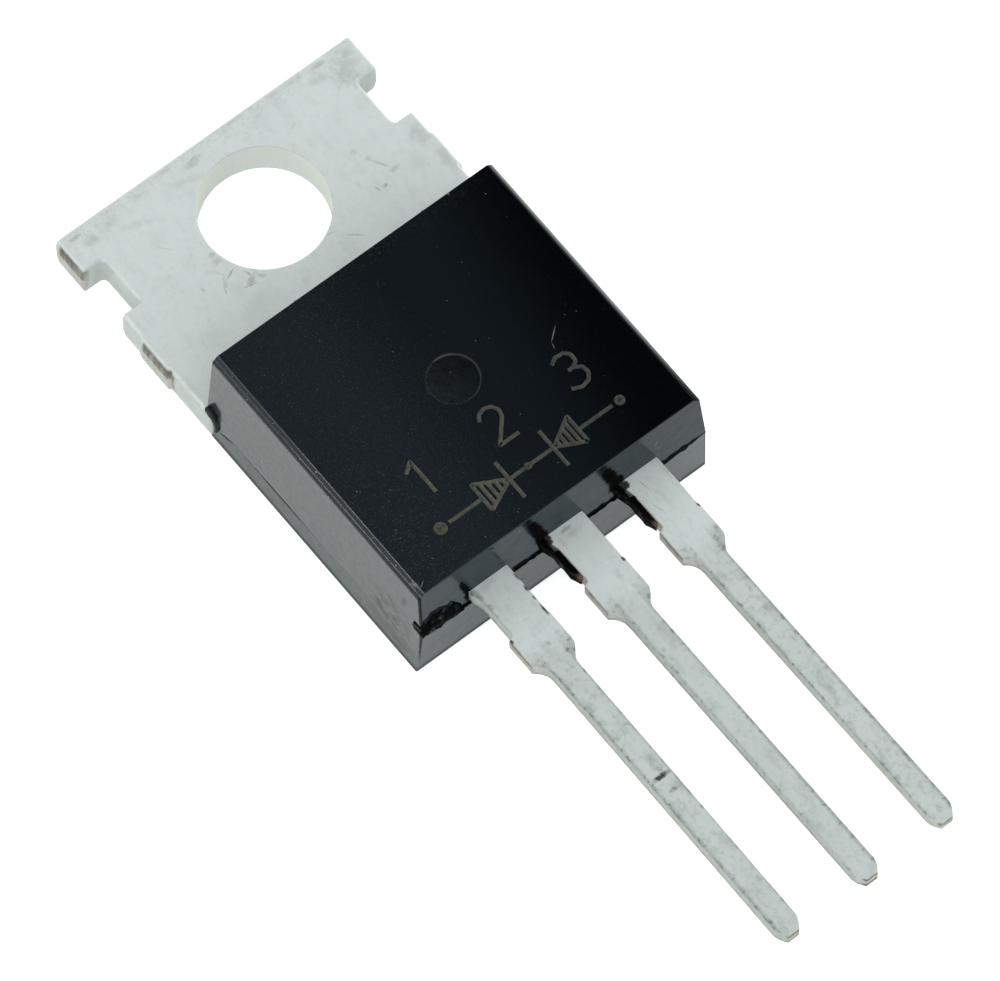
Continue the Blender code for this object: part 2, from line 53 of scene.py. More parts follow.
for name in sorted(nodes):
    low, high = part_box(name)
    print(name, [round(v / MM, 2) for v in high - low], "mm")


def placed(name, data):
    """A new object in the scene."""
    item = bpy.data.objects.new(name, data)
    bpy.context.scene.collection.objects.link(item)
    return item


# %% [markdown]
# ## The camera
# The photograph was taken with a long lens from above the lead side. The numbers were fitted to about 60
# points of the photograph, so that every corner of the solids falls on the picture's own corner.

# %% Camera
camera_turn, camera_height, camera_roll = map(math.radians, (-128.1543, 64.9520, -0.2111))
camera_distance = 345.8157 * MM
camera_target = Vector((-0.3031, -2.1792, 1.5)) * MM

back = Vector((
    math.cos(camera_height) * math.cos(camera_turn),
    math.cos(camera_height) * math.sin(camera_turn),
    math.sin(camera_height),
))
level_right = Vector((-math.sin(camera_turn), math.cos(camera_turn), 0))
level_up = back.cross(level_right)
right = level_right * math.cos(camera_roll) + level_up * math.sin(camera_roll)
up = level_up * math.cos(camera_roll) - level_right * math.sin(camera_roll)

camera_data = bpy.data.cameras.new("photo_camera")
camera_data.lens = 466.40
camera_data.sensor_width = 36
camera = placed("photo_camera", camera_data)
axes = Matrix((right, up, back)).transposed().to_4x4()
camera.matrix_world = Matrix.Translation(camera_target + back * camera_distance) @ axes
bpy.context.scene.camera = camera
bpy.context.scene.view_settings.view_transform = "Standard"
print("camera at", [round(v / MM, 1) for v in camera.location], "mm")

# %% [markdown]
# ## Building materials out of nodes
# Every finish below is a node tree. Small helpers keep the trees short. `add` makes a node and feeds its
# inputs with numbers or with other nodes' outputs. The arithmetic helpers work on such outputs and find
# the tree by themselves. `new_group` makes a reusable effect whose inputs and outputs have names, so that
# each material can `use` it with values of its own.

# %% Node helpers
def feed(node, feeds):
    """Feeds a node's inputs, a list by place or a dict by name: outputs are linked, plain values set."""
    for key, value in feeds.items() if isinstance(feeds, dict) else enumerate(feeds):
        if isinstance(value, bpy.types.NodeSocket):
            node.id_data.links.new(value, node.inputs[key])
        else:
            node.inputs[key].default_value = value


def add(tree, kind, feeds=(), **settings):
    """A node of that kind in the tree, with its settings and feeds."""
    made = tree.nodes.new(kind)
    for name, value in settings.items():
        setattr(made, name, value)
    feed(made, feeds)
    return made


print("feed and add ready")

# %% Arithmetic helpers
def calc(operation, *values, kind="ShaderNodeMath"):
    """One step of arithmetic, in the tree that its values come from."""
    tree = next(value.id_data for value in values if isinstance(value, bpy.types.NodeSocket))
    return add(tree, kind, values, operation=operation).outputs[0]


def folded(operation):
    """A function that applies the operation to any number of values, from left to right."""
    def run(total, *others):
        for other in others:
            total = calc(operation, total, other)
        return total
    return run


times, plus, minus, largest = map(folded, ("MULTIPLY", "ADD", "SUBTRACT", "MAXIMUM"))


def times_plus(value, factor, rest):
    """The value times the factor, plus the rest."""
    return calc("MULTIPLY_ADD", value, factor, rest)


def vector_calc(operation, *values):
    return calc(operation, *values, kind="ShaderNodeVectorMath")


def stretched(vector, *factors):
    """A vector whose X, Y and Z are each multiplied, which squeezes a pattern along them."""
    return vector_calc("MULTIPLY", vector, factors)


def length(vector):
    return add(vector.id_data, "ShaderNodeVectorMath", [vector], operation="LENGTH").outputs["Value"]


def split(vector):
    """The X, Y and Z of a vector."""
    return add(vector.id_data, "ShaderNodeSeparateXYZ", [vector]).outputs


def noise_at(vector, scale, detail, **more):
    """Cloudy noise from 0 to 1, with that many waves per unit of the vector."""
    feeds = {"Vector": vector, "Scale": scale, "Detail": detail, **more}
    return add(vector.id_data, "ShaderNodeTexNoise", feeds).outputs[0]


print("arithmetic ready")

# %% Ramps and blends
def ramp(value, start, end, low=0.0, high=1.0):
    """Goes smoothly from low to high while the value goes from start to end."""
    feeds = {"Value": value, "From Min": start, "From Max": end, "To Min": low, "To Max": high}
    return add(value.id_data, "ShaderNodeMapRange", feeds, interpolation_type="SMOOTHSTEP").outputs[0]


def blend(share, first, second):
    """The first colour, and more of the second as the share rises to 1."""
    return add(share.id_data, "ShaderNodeMix", {0: share, 6: first, 7: second}, data_type="RGBA").outputs[2]


def blend_value(share, first, second):
    """The same with plain numbers."""
    return add(share.id_data, "ShaderNodeMix", {0: share, 2: first, 3: second}, data_type="FLOAT").outputs[0]


def painted(colour, *layers):
    """Lays (share, colour) layers over a colour, one after the other."""
    for share, paint in layers:
        colour = blend(share, colour, paint)
    return colour


print("blends ready")

# %% Groups
def new_group(name, inputs, outputs):
    """An empty shader group that reads a position. Its inputs have defaults, and its outputs are numbers."""
    tree = bpy.data.node_groups.new(name, "ShaderNodeTree")
    for title, default in {"Position": (0, 0, 0), **inputs}.items():
        kind = "Vector" if isinstance(default, tuple) else "Float"
        socket = tree.interface.new_socket(title, in_out="INPUT", socket_type=f"NodeSocket{kind}")
        socket.default_value = default
    for title in outputs:
        tree.interface.new_socket(title, in_out="OUTPUT", socket_type="NodeSocketFloat")
    return tree, tree.nodes.new("NodeGroupInput").outputs, tree.nodes.new("NodeGroupOutput")


def use(group, position, *values):
    """Places a group in the position's tree, feeds it in the order of its inputs and gives its outputs."""
    return add(position.id_data, "ShaderNodeGroup", [position, *values], node_tree=group).outputs


print("groups ready")

# %% [markdown]
# ## Shared effects
# The metal and the epoxy carry the same kinds of marks: specks of dust, hairline scratches, cloudy
# smudges, and single stains at known places. Each effect is one group that reads a position in
# millimetres on the part itself, so a pattern stays put when the camera moves.

# %% Specks of dust
specks, given, wanted = new_group("specks", {"Cells per mm": 3.0, "Size": 0.2, "Share": 0.4}, ["Mask"])
cells = add(specks, "ShaderNodeTexVoronoi",
            {"Vector": given["Position"], "Scale": given["Cells per mm"]}).outputs
chance = add(specks, "ShaderNodeSeparateColor", [cells["Color"]]).outputs
kept = calc("LESS_THAN", chance[0], given["Share"])
reach = times(given["Size"], plus(calc("POWER", chance[1], 2.5), 0.15))
spot = ramp(cells["Distance"], reach, times(reach, 0.5))
feed(wanted, {"Mask": times(spot, kept, times_plus(chance[2], 0.7, 0.3))})
print("specks:", len(specks.nodes), "nodes")

# %% Hairline scratches
scratches, given, wanted = new_group("scratches", {"Lines per mm": 0.5, "Width": 0.01, "Share": 0.5},
                                     ["Mask"])
path = noise_at(given["Position"], given["Lines per mm"], 1.0, Distortion=0.6)
line = ramp(calc("ABSOLUTE", minus(path, 0.5)), given["Width"], 0.0)
elsewhere = vector_calc("ADD", given["Position"], (7.3, 1.9, 4.1))
gaps = noise_at(elsewhere, times(given["Lines per mm"], 2.4), 2.0)
edge = minus(1.0, given["Share"])
feed(wanted, {"Mask": times(line, ramp(gaps, edge, plus(edge, 0.12)))})
print("scratches:", len(scratches.nodes), "nodes")

# %% Cloudy smudges and fine grain
clouds, given, wanted = new_group("clouds", {"Per mm": 1.0, "Start": 0.45, "End": 0.7}, ["Mask", "Grain"])
wide = noise_at(given["Position"], given["Per mm"], 5.0, Roughness=0.62)
fine = noise_at(given["Position"], times(given["Per mm"], 22.0), 3.0)
feed(wanted, {"Mask": ramp(wide, given["Start"], given["End"]), "Grain": fine})
print("clouds:", len(clouds.nodes), "nodes")

# %% Ragged outlines, one stain, and a box-shaped zone
breakup, given, wanted = new_group("breakup", {"Ragged": 0.5, "Broken": 0.5, "Softness": 0.1},
                                   ["Tatter", "Left Over"])
coarse = noise_at(given["Position"], 5.0, 4.0, Roughness=0.65)
fine = noise_at(given["Position"], 16.0, 2.0)
crumbled = ramp(fine, minus(0.5, given["Softness"]), plus(0.5, given["Softness"]))
feed(wanted, {"Tatter": times(minus(coarse, 0.5), times(given["Ragged"], 4.0)),
              "Left Over": blend_value(given["Broken"], 1.0, crumbled)})

stain, given, wanted = new_group(
    "stain", {"Centre": (0, 0, 0), "Half Size": (1, 1, 1), "Turn": (0, 0, 0), "Tatter": 0.0}, ["Mask"])
from_centre = vector_calc("SUBTRACT", given["Position"], given["Centre"])
turned = add(stain, "ShaderNodeVectorRotate", {"Vector": from_centre, "Rotation": given["Turn"]},
             rotation_type="EULER_XYZ", invert=True).outputs[0]
far = length(vector_calc("DIVIDE", turned, given["Half Size"]))
feed(wanted, {"Mask": ramp(plus(far, given["Tatter"]), 1.0, 0.05)})

zone, given, wanted = new_group("zone", {"Low": (0, 0, 0), "High": (0, 0, 0), "Soft": 0.02}, ["Mask"])
inside, soft = 1.0, given["Soft"]
for here, low, high in zip(split(given["Position"]), split(given["Low"]), split(given["High"])):
    after = ramp(here, minus(low, soft), plus(low, soft))
    before = ramp(here, plus(high, soft), minus(high, soft))
    inside = times(inside, times(after, before))
feed(wanted, {"Mask": inside})
print("stain:", len(stain.nodes), "nodes; zone:", len(zone.nodes), "nodes")

# %% Starting a material
def new_material(name):
    """A material, its shader, and the position in millimetres on the part."""
    made = bpy.data.materials.new(name)
    made.use_nodes = True
    where = add(made.node_tree, "ShaderNodeTexCoord").outputs["Object"]
    return made, made.node_tree.nodes["Principled BSDF"], stretched(where, 1 / MM, 1 / MM, 1 / MM)


def direction(material):
    """The X, Y and Z of the direction that the surface faces."""
    return split(add(material.node_tree, "ShaderNodeNewGeometry").outputs["Normal"])


def bump(shader, height, distance):
    """Feeds a height map, whose full range is that many millimetres, to the shader's normal."""
    feeds = {"Height": height, "Distance": distance * MM, "Strength": 1.0}
    feed(shader, {"Normal": add(shader.id_data, "ShaderNodeBump", feeds).outputs[0]})


print("materials can start")

# %% Using the groups
def clouded_finish(name, pale, dark, cloud, roughness, uneven, metallic=0.0):
    """A plain finish that wavers between two colours. The cloud is its (waves per mm, start, end)."""
    made, shader, position = new_material(name)
    shade = use(clouds, position, *cloud)
    feed(shader, {"Base Color": blend(shade["Mask"], pale, dark), "Metallic": metallic,
                  "Roughness": times_plus(shade["Grain"], uneven, roughness)})
    bump(shader, shade["Grain"], 0.004)
    return made


def stained(position, rows, ragged=0.5, broken=0.5, softness=0.1):
    """The masks of several (centre, half size, turns in degrees, strength) stains, laid over each other."""
    outline = use(breakup, position, ragged, broken, softness)
    total = 0.0
    for centre, half_size, turn, strength in rows:
        turns = [math.radians(angle) for angle in turn]
        mask = use(stain, position, centre, half_size, turns, outline["Tatter"])["Mask"]
        total = largest(total, times(mask, strength))
    return times(total, outline["Left Over"])


def zones(position, boxes, soft=0.02):
    """The mask of several (low, high) boxes together."""
    total = 0.0
    for low, high in boxes:
        total = largest(total, use(zone, position, low, high, soft)["Mask"])
    return total


print("material helpers ready")

# %% [markdown]
# ## Tin plating
# The leadframe is copper with a matt tin plating: pale and finely mottled, with grey rub marks where parts
# slid over each other in the bag. The sheared sides are a warmer grey and streaked along the cut, and where
# the strip was cut after plating, the copper shows as a dark brown line under the upper edge. A metallic
# share well below 1 gives the milky look of matt tin. Light and shade are painted in as well: the sides are
# painted darker, a dark band runs along the lower edge of the lead sides, the wall of the screw hole is
# painted paler, and lead 1 is painted darker where it leaves the body.

# %% Tin-plated copper
TIN = (0.655, 0.700, 0.690, 1)
RUBBED_AND_SHADED_TIN = (0.22, 0.242, 0.235, 1)
SHEARED_AND_SHADED_TIN = (0.47, 0.480, 0.430, 1)
HOLE_WALL_LIGHT = (0.76, 0.78, 0.74, 1)
CUT_METAL = (0.40, 0.37, 0.31, 1)
COPPER = (0.080, 0.048, 0.034, 1)
COPPER_SMEAR = (0.34, 0.20, 0.15, 1)
BLACK_BIT = (0.038, 0.038, 0.033, 1)
FLASH_BLACK = (0.004, 0.005, 0.005, 1)
UNDER_EDGE_SHADE = (0.17, 0.155, 0.125, 1)
LEAD_TOP = 2.882
TAB_TOP = 1.296
LEAD_PITCH = 2.54
HOLE_CENTRE = (0.0, 8.462, 0.65)
print("hole centre", HOLE_CENTRE)

# %% The plating
def tin_plating(name, marks, cut_boxes, line_boxes, mottle, side_share):
    """Tin over copper. Its marks: rub marks and painted shade, thin lines, black bits and copper patches."""
    made, shader, position = new_material(name)
    haze = use(clouds, position, 0.5, 0.36, 0.70)
    smear = use(clouds, stretched(position, 1.5, 0.8, 1.0), 1.7, 0.46, 0.74)
    speckle = use(clouds, position, 6.0, 0.48, 0.78)
    lines = use(scratches, position, 0.42, 0.006, 0.42)["Mask"]
    nicks = use(scratches, stretched(position, 1.0, 2.2, 1.0), 1.9, 0.012, 0.40)["Mask"]
    across, along, above = split(position)
    sideways = minus(1.0, calc("ABSOLUTE", direction(made)[2]))
    upright = ramp(sideways, 0.45, 0.8)

    thin_part = ramp(along, -6.6, -7.8)
    from_lead = calc("ABSOLUTE", calc("WRAP", across, LEAD_PITCH / 2, -LEAD_PITCH / 2))
    dappled = times_plus(speckle["Mask"], 1.1, 0.35)
    rim = times(ramp(from_lead, 0.25, 0.37), dappled)
    tab_end = times(ramp(along, 10.3, 11.1), ramp(haze["Grain"], 0.40, 0.66))
    rubbed_and_shaded = times_plus(haze["Mask"], 0.06, times(thin_part, times_plus(rim, 0.95, 0.22)))
    patchy = times_plus(speckle["Mask"], 0.8, times(smear["Mask"], 0.9))
    patchy = times(patchy, mottle, times_plus(thin_part, 0.8, 1.0))
    rubbed_and_shaded = plus(rubbed_and_shaded, times(tab_end, 0.16), patchy, times(lines, 0.14), times(nicks, 0.20))
    rubbed_and_shaded = largest(rubbed_and_shaded, stained(position, marks["rubs_and_shade"], 0.42, 0.30, 0.30),
                     stained(position, marks["thin"], 0.20, 0.45, 0.15))

    streak = ramp(noise_at(stretched(position, 7.0, 7.0, 1.3), 1.0, 3.0), 0.30, 0.70)
    # Painted light: the wall of the screw hole is painted a paler tin, against the shade inside the hole.
    from_hole = length(stretched(vector_calc("SUBTRACT", position, HOLE_CENTRE), 1, 1, 0))
    in_hole = times(ramp(from_hole, 2.05, 1.92), upright)
    worn_rim = times(ramp(sideways, 0.02, 0.25), ramp(smear["Grain"], 0.40, 0.62))
    # Partly painted shade: the sheared grey is laid on heavily, so that the sides look darker than the tops.
    sheared = largest(times(upright, times_plus(streak, 0.35, 0.65)), times(worn_rim, 0.7))
    # Painted shade: a dark brown band along the lower edge of the lead sides.
    under_edge_shade = times(ramp(above, 2.34, 2.40), ramp(above, 2.62, 2.48))
    under_edge_shade = times(under_edge_shade, times(upright, dappled))
    cut = times(zones(position, cut_boxes, 0.05), upright)
    bare = times(zones(position, line_boxes, 0.06), ramp(sideways, 0.12, 0.3))
    bare = times(bare, times_plus(streak, 0.4, 0.6))
    black = stained(position, marks["black"], 0.25, 0.25, 0.15)
    blackened = ramp(black, 0.08, 0.45)
    # The dappled grey on upright faces is painted shade that darkens the sides.
    colour = painted(
        TIN, (calc("MINIMUM", rubbed_and_shaded, 1.0), RUBBED_AND_SHADED_TIN), (times(upright, dappled, 0.35), RUBBED_AND_SHADED_TIN),
        (times(sheared, side_share), SHEARED_AND_SHADED_TIN), (in_hole, HOLE_WALL_LIGHT), (times(under_edge_shade, 0.9), UNDER_EDGE_SHADE),
        (times(cut, times_plus(streak, 0.5, 0.2)), CUT_METAL), (times(bare, 0.9), COPPER),
        (stained(position, marks["copper"], 0.2, 0.2), COPPER_SMEAR), (blackened, BLACK_BIT),
        (ramp(black, 0.50, 0.64), FLASH_BLACK))

    rough = plus(times_plus(haze["Mask"], 0.08, 0.42), times(upright, 0.15))
    feed(shader, {"Base Color": colour, "Metallic": times_plus(blackened, -0.35, 0.35),
                  "Roughness": times_plus(blackened, 0.3, rough)})
    height = plus(times(speckle["Grain"], 0.6), times(streak, upright, 0.8))
    bump(shader, minus(height, times(plus(lines, nicks), 0.4)), 0.012)
    print(name, len(made.node_tree.nodes), "nodes")
    return made


# %% [markdown]
# The marks at known places were read from the photograph, as centre, half size, turns in degrees and strength
# on the part.

# %% Plating of the tab and the centre lead
def stub_sides(x):
    """The two sheared sides of a lead's dam-bar stub, and the sheared end of its tip."""
    return [((x - 0.75, -7.27, 2.3), (x - 0.64, -6.2, 3.0)), ((x + 0.64, -7.27, 2.3), (x + 0.75, -6.2, 3.0)),
            ((x - 0.4, -17.6, 2.3), (x + 0.4, -17.44, 3.0))]


def stub_lines(x):
    """The dark line that the cut leaves along the stub's upper edges and across the tip."""
    return [((x - 0.75, -7.26, 2.68), (x - 0.66, -6.2, 2.86)),
            ((x + 0.66, -7.26, 2.76), (x + 0.75, -6.2, 2.87)),
            ((x - 0.26, -17.7, 2.69), (x + 0.30, -17.38, 2.87)),
            ((x - 0.26, -17.7, 2.38), (x + 0.30, -17.38, 2.52))]


def on_face(z, rows):
    """Marks on an upper face: place, half width and length, turn about Z in degrees, strength."""
    return [((x, y, z), (wide, long, 0.22), (0, 0, turn), strength)
            for x, y, wide, long, turn, strength in rows]


tab_marks = {
    "rubs_and_shade": on_face(TAB_TOP, [
        (3.10, 7.88, 0.16, 0.14, 0, 0.4), (3.50, 7.20, 0.26, 0.12, 0, 0.45),
        (2.89, 8.30, 0.16, 0.16, 0, 0.35), (2.97, 6.95, 0.14, 0.09, 40, 0.75),
        (2.12, 9.92, 0.18, 0.12, 0, 0.3), (3.75, 10.95, 0.45, 0.12, 0, 0.5),
        (2.96, 10.99, 0.5, 0.11, 0, 0.4), (2.26, 11.0, 0.4, 0.10, 0, 0.35),
        (0.95, 11.05, 0.5, 0.12, 0, 0.35), (-0.53, 10.76, 0.3, 0.12, 20, 0.45),
        (-0.80, 10.72, 0.4, 0.2, 0, 0.45), (-1.5, 11.0, 0.5, 0.1, 0, 0.35),
        (-2.47, 10.85, 0.3, 0.16, 0, 0.35), (-1.2, 10.4, 1.1, 0.25, -15, 0.25),
        (-3.59, 10.63, 0.3, 0.22, 0, 0.4), (-4.24, 10.57, 0.35, 0.3, 0, 0.45),
        (-4.55, 10.9, 0.4, 0.13, 0, 0.5), (-3.0, 10.2, 0.8, 0.2, -20, 0.22),
        (4.30, 10.35, 0.75, 0.85, 10, 0.42), (4.6, 10.75, 0.35, 0.25, 0, 0.45),
        (4.85, 9.9, 0.16, 0.5, 0, 0.4), (3.6, 10.6, 0.6, 0.3, 0, 0.3), (4.65, 7.6, 0.45, 0.7, 8, 0.35),
        (4.77, 6.58, 0.3, 0.8, 0, 0.35), (4.1, 7.0, 0.5, 0.5, 0, 0.2), (-2.00, 7.96, 0.28, 0.18, 20, 0.55),
        (-2.81, 7.53, 0.11, 0.13, 0, 0.6), (-2.22, 7.33, 0.35, 0.11, 60, 0.45),
        (-1.61, 6.95, 0.4, 0.14, 25, 0.55), (-1.36, 7.33, 0.14, 0.3, 10, 0.5),
        (-1.29, 6.90, 0.25, 0.10, -40, 0.55), (-1.98, 8.21, 0.2, 0.13, 0, 0.45),
        (-1.9, 6.3, 0.9, 0.5, 20, 0.2), (-3.4, 6.2, 0.8, 0.9, 0, 0.16), (-0.6, 5.5, 1.5, 0.3, 0, 0.16),
        (2.4, 5.4, 1.4, 0.35, 0, 0.18), (-2.9, 9.5, 0.6, 0.4, 30, 0.16)]) + on_face(LEAD_TOP, [
        (-0.05, -4.66, 0.34, 0.10, 4, 0.75), (0.05, -4.84, 0.46, 0.22, 4, 0.4),
        (-0.35, -4.9, 0.14, 0.3, 0, 0.35), (-0.19, -8.98, 0.17, 0.24, 0, 0.65),
        (-0.10, -8.50, 0.14, 0.12, 0, 0.5), (0.1, -9.9, 0.26, 0.2, 0, 0.45),
        (-0.15, -11.13, 0.2, 0.2, 0, 0.5), (-0.01, -13.76, 0.24, 0.4, 0, 0.4),
        (-0.05, -15.06, 0.26, 0.26, 0, 0.5), (0.24, -6.6, 0.16, 0.4, 0, 0.3),
        (0.1, -12.4, 0.28, 0.5, 0, 0.35), (0.0, -16.9, 0.3, 0.3, 0, 0.3),
        (-0.62, -5.5, 0.12, 0.5, 0, 0.35)]),
    "thin": on_face(TAB_TOP, [
        (3.28, 7.55, 0.05, 0.45, 30, 0.7), (2.75, 7.0, 0.045, 0.16, 20, 0.9),
        (0.76, 6.76, 0.5, 0.04, -8, 0.55), (1.40, 6.30, 0.045, 0.5, 50, 0.5),
        (-1.95, 7.45, 0.35, 0.045, 25, 0.9), (-1.55, 7.15, 0.045, 0.25, 15, 0.9),
        (-1.75, 6.85, 0.3, 0.045, -12, 0.9), (-1.2, 7.2, 0.04, 0.22, -25, 0.8),
        (-2.35, 7.15, 0.25, 0.04, 70, 0.7), (-0.7, 10.8, 0.45, 0.045, 12, 0.7),
        (-2.9, 9.2, 0.03, 0.4, 40, 0.4)]) + on_face(LEAD_TOP, [
        (0.10, -16.70, 0.04, 0.35, -50, 0.75), (0.2, -10.9, 0.035, 0.5, 12, 0.5),
        (0.15, -14.3, 0.035, 0.4, 30, 0.5), (-0.25, -16.0, 0.035, 0.3, 0, 0.5)]),
    "black": on_face(LEAD_TOP, [
        (0.62, -6.28, 0.08, 0.14, 0, 0.52), (0.66, -5.75, 0.05, 0.12, 0, 0.5),
        (-0.64, -4.58, 0.26, 0.30, 0, 1.0), (-0.67, -4.96, 0.16, 0.34, 0, 1.0)]),
    "copper": on_face(LEAD_TOP - 0.1, [(-0.60, -6.10, 0.17, 0.26, 0, 1.0)]),
}
tab_cuts = [((-5.2, 9.8, -0.1), (-4.88, 11.1, 1.3)), ((-5.2, 6.0, -0.1), (-4.90, 7.35, 1.3))]
tab_lines = [((-5.2, 9.95, 0.74), (-4.85, 11.0, 1.20)), ((-5.2, 6.12, 0.76), (-4.9, 7.3, 1.20)),
             ((-5.2, 6.02, 0.35), (-4.93, 6.12, 1.1))]
tab_finish = tin_plating("tab_plating", tab_marks, tab_cuts + stub_sides(0.0), tab_lines + stub_lines(0.0),
                         0.14, 0.55)

# %% Plating of the anode leads
lead_marks = {
    "rubs_and_shade": on_face(LEAD_TOP, [
        (-2.50, -12.32, 0.22, 0.12, 10, 0.45), (-2.51, -13.21, 0.24, 0.14, 0, 0.45),
        (-2.49, -14.79, 0.17, 0.17, 0, 0.6), (-2.61, -16.49, 0.24, 0.24, 0, 0.5),
        (-2.47, -6.96, 0.17, 0.13, -30, 0.65), (-2.50, -8.92, 0.28, 0.26, 0, 0.55),
        (-2.50, -8.3, 0.24, 0.16, 0, 0.4), (-2.69, -4.66, 0.40, 0.22, 10, 0.35),
        (-2.3, -9.9, 0.16, 0.6, 0, 0.4), (-2.45, -15.6, 0.28, 0.6, 0, 0.35),
        # The row at (-3.14, -5.0) is painted shade, cast by the body on lead 1 where it leaves the body.
        (-2.65, -10.6, 0.2, 0.5, 0, 0.4), (-3.14, -5.0, 0.24, 0.9, 0, 1.0),
        (2.72, -9.07, 0.20, 0.2, 0, 0.55), (2.62, -9.3, 0.16, 0.18, 0, 0.5),
        (2.55, -11.7, 0.24, 0.5, 0, 0.4), (2.59, -14.95, 0.24, 0.26, 0, 0.55),
        (2.50, -13.5, 0.24, 0.5, 0, 0.4), (2.45, -10.3, 0.2, 0.4, 0, 0.4), (2.9, -7.2, 0.16, 0.16, 0, 0.5),
        (2.5, -16.3, 0.28, 0.5, 0, 0.35), (3.1, -5.0, 0.14, 0.5, 0, 0.3)]),
    "thin": on_face(LEAD_TOP, [
        (-2.83, -8.06, 0.04, 0.22, 30, 0.85), (-2.83, -10.72, 0.05, 0.5, 0, 0.75),
        (-2.5, -12.9, 0.24, 0.03, 10, 0.5), (2.76, -11.99, 0.035, 0.40, 30, 0.65),
        (2.66, -11.5, 0.03, 0.5, -20, 0.6), (2.74, -16.21, 0.03, 0.35, 20, 0.6),
        (2.40, -4.95, 0.028, 0.38, 8, 0.85), (2.28, -5.72, 0.028, 0.38, 14, 0.65),
        (2.6, -10.6, 0.03, 0.5, 10, 0.5), (-2.75, -13.9, 0.03, 0.5, 0, 0.6),
        (-2.3, -11.2, 0.03, 0.5, 5, 0.5), (-2.7, -16.9, 0.03, 0.3, -40, 0.6),
        (2.35, -15.6, 0.03, 0.5, 0, 0.6), (2.8, -13.0, 0.03, 0.5, 0, 0.5)]),
    "black": on_face(LEAD_TOP, [
        (-2.51, -11.83, 0.46, 0.15, 0, 0.58), (-2.50, -12.32, 0.36, 0.14, 0, 0.34),
        (-1.90, -4.92, 0.13, 0.25, 0, 0.55), (-1.93, -5.35, 0.11, 0.20, 0, 0.55),
        (-1.93, -5.70, 0.06, 0.16, 0, 0.5), (-1.93, -6.12, 0.08, 0.34, 0, 0.55),
        (3.18, -6.26, 0.09, 0.16, 0, 0.55), (3.19, -5.6, 0.05, 0.3, 0, 0.4),
        (-3.2, -6.35, 0.07, 0.14, 0, 0.5), (1.94, -4.58, 0.28, 0.30, 0, 1.0),
        # The row at (-3.17, -4.62) is painted shade at lead 1's root, under the body.
        (1.89, -5.00, 0.17, 0.36, 0, 1.0), (-3.17, -4.62, 0.10, 0.16, 0, 0.35)]),
    "copper": on_face(LEAD_TOP - 0.1, [(1.93, -6.14, 0.17, 0.28, 0, 1.0)]),
}
cuts = stub_sides(-LEAD_PITCH) + stub_sides(LEAD_PITCH)
lines = stub_lines(-LEAD_PITCH) + stub_lines(LEAD_PITCH)
lead_finish = tin_plating("lead_plating", lead_marks, cuts, lines, 0.22, 0.80)

# %% [markdown]
# ## Moulding epoxy
# The body is black epoxy. Its sides came off polished mould faces and mirror the table through a thin film
# of grease and dust. Its top is finely matt, with dust that lies thickest at the left, and the mould's seam
# lines run along the left side.

# %% Epoxy
LEFT_TOP = (0.0105, 0.0148, 0.0190, 1)
MIDDLE_TOP = (0.0048, 0.0075, 0.0100, 1)
RIGHT_TOP = (0.0002, 0.0008, 0.0016, 1)
FILM = (0.100, 0.116, 0.106, 1)
DUST_AND_HIGHLIGHT = (0.22, 0.235, 0.235, 1)
GRIME_AND_SHADE = (0.0035, 0.0034, 0.0031, 1)
SEAM = (0.26, 0.28, 0.275, 1)
CHAMFER_REFLECTION = (0.34, 0.36, 0.355, 1)
CHIPPED = (0.46, 0.48, 0.49, 1)
# Painted shade: the next colour darkens the front faces and tints them blue.
FRONT_SHADE = (0.001, 0.014, 0.024, 1)
# The next two colours are a painted reflection and a painted highlight on the broken epoxy.
GREY_REFLECTION = (0.024, 0.029, 0.031, 1)
FOOT_HIGHLIGHT = (0.085, 0.100, 0.103, 1)
EJECTOR_CENTRE = (-0.06, 0.12, 4.31)
LEFT_FACE, LEFT_DRAFT = 4.945, 0.0472
FRONT_FACE, FRONT_DRAFT = 4.553, 0.1069
SEAM_Z = 2.439
print("seam at", SEAM_Z)

# %% Marks on the epoxy
def on_side(*rows):
    """Marks on the left side: their Y and Z, half length and height, slope in degrees, strength."""
    return [((-4.85, y, z), (0.3, long, high), (slope, 0, 0), strength)
            for y, z, long, high, slope, strength in rows]


def on_front_face(*rows):
    """Marks on the front: their place, half width and height, lean in degrees, strength."""
    return [((x, y, z), (wide, 0.3, high), (0, lean, 0), strength)
            for x, y, z, wide, high, lean, strength in rows]


pale_side_marks = on_side(
    (1.9, 1.17, 1.7, 0.055, 0, 0.65), (3.85, 0.98, 0.5, 0.055, -24, 0.65), (3.01, 1.12, 0.09, 0.07, 0, 0.9),
    (2.63, 1.09, 0.08, 0.05, 0, 0.8), (2.30, 1.84, 0.06, 0.05, 0, 0.6), (2.11, 1.42, 0.06, 0.05, 0, 0.6),
    (-1.4, 2.0, 0.05, 0.05, 0, 0.6))
dark_side_marks = on_side(
    (1.5, 1.05, 2.1, 0.11, 0, 1.0), (3.85, 0.86, 0.5, 0.10, -24, 1.0), (-1.6, 1.12, 1.4, 0.07, 0, 0.3),
    (-2.73, 1.61, 0.45, 0.14, 40, 0.28), (-3.3, 2.3, 0.5, 0.16, 50, 0.28), (-3.77, 3.2, 0.16, 0.5, 15, 0.35),
    (-3.72, 0.6, 0.6, 0.14, -10, 0.25))
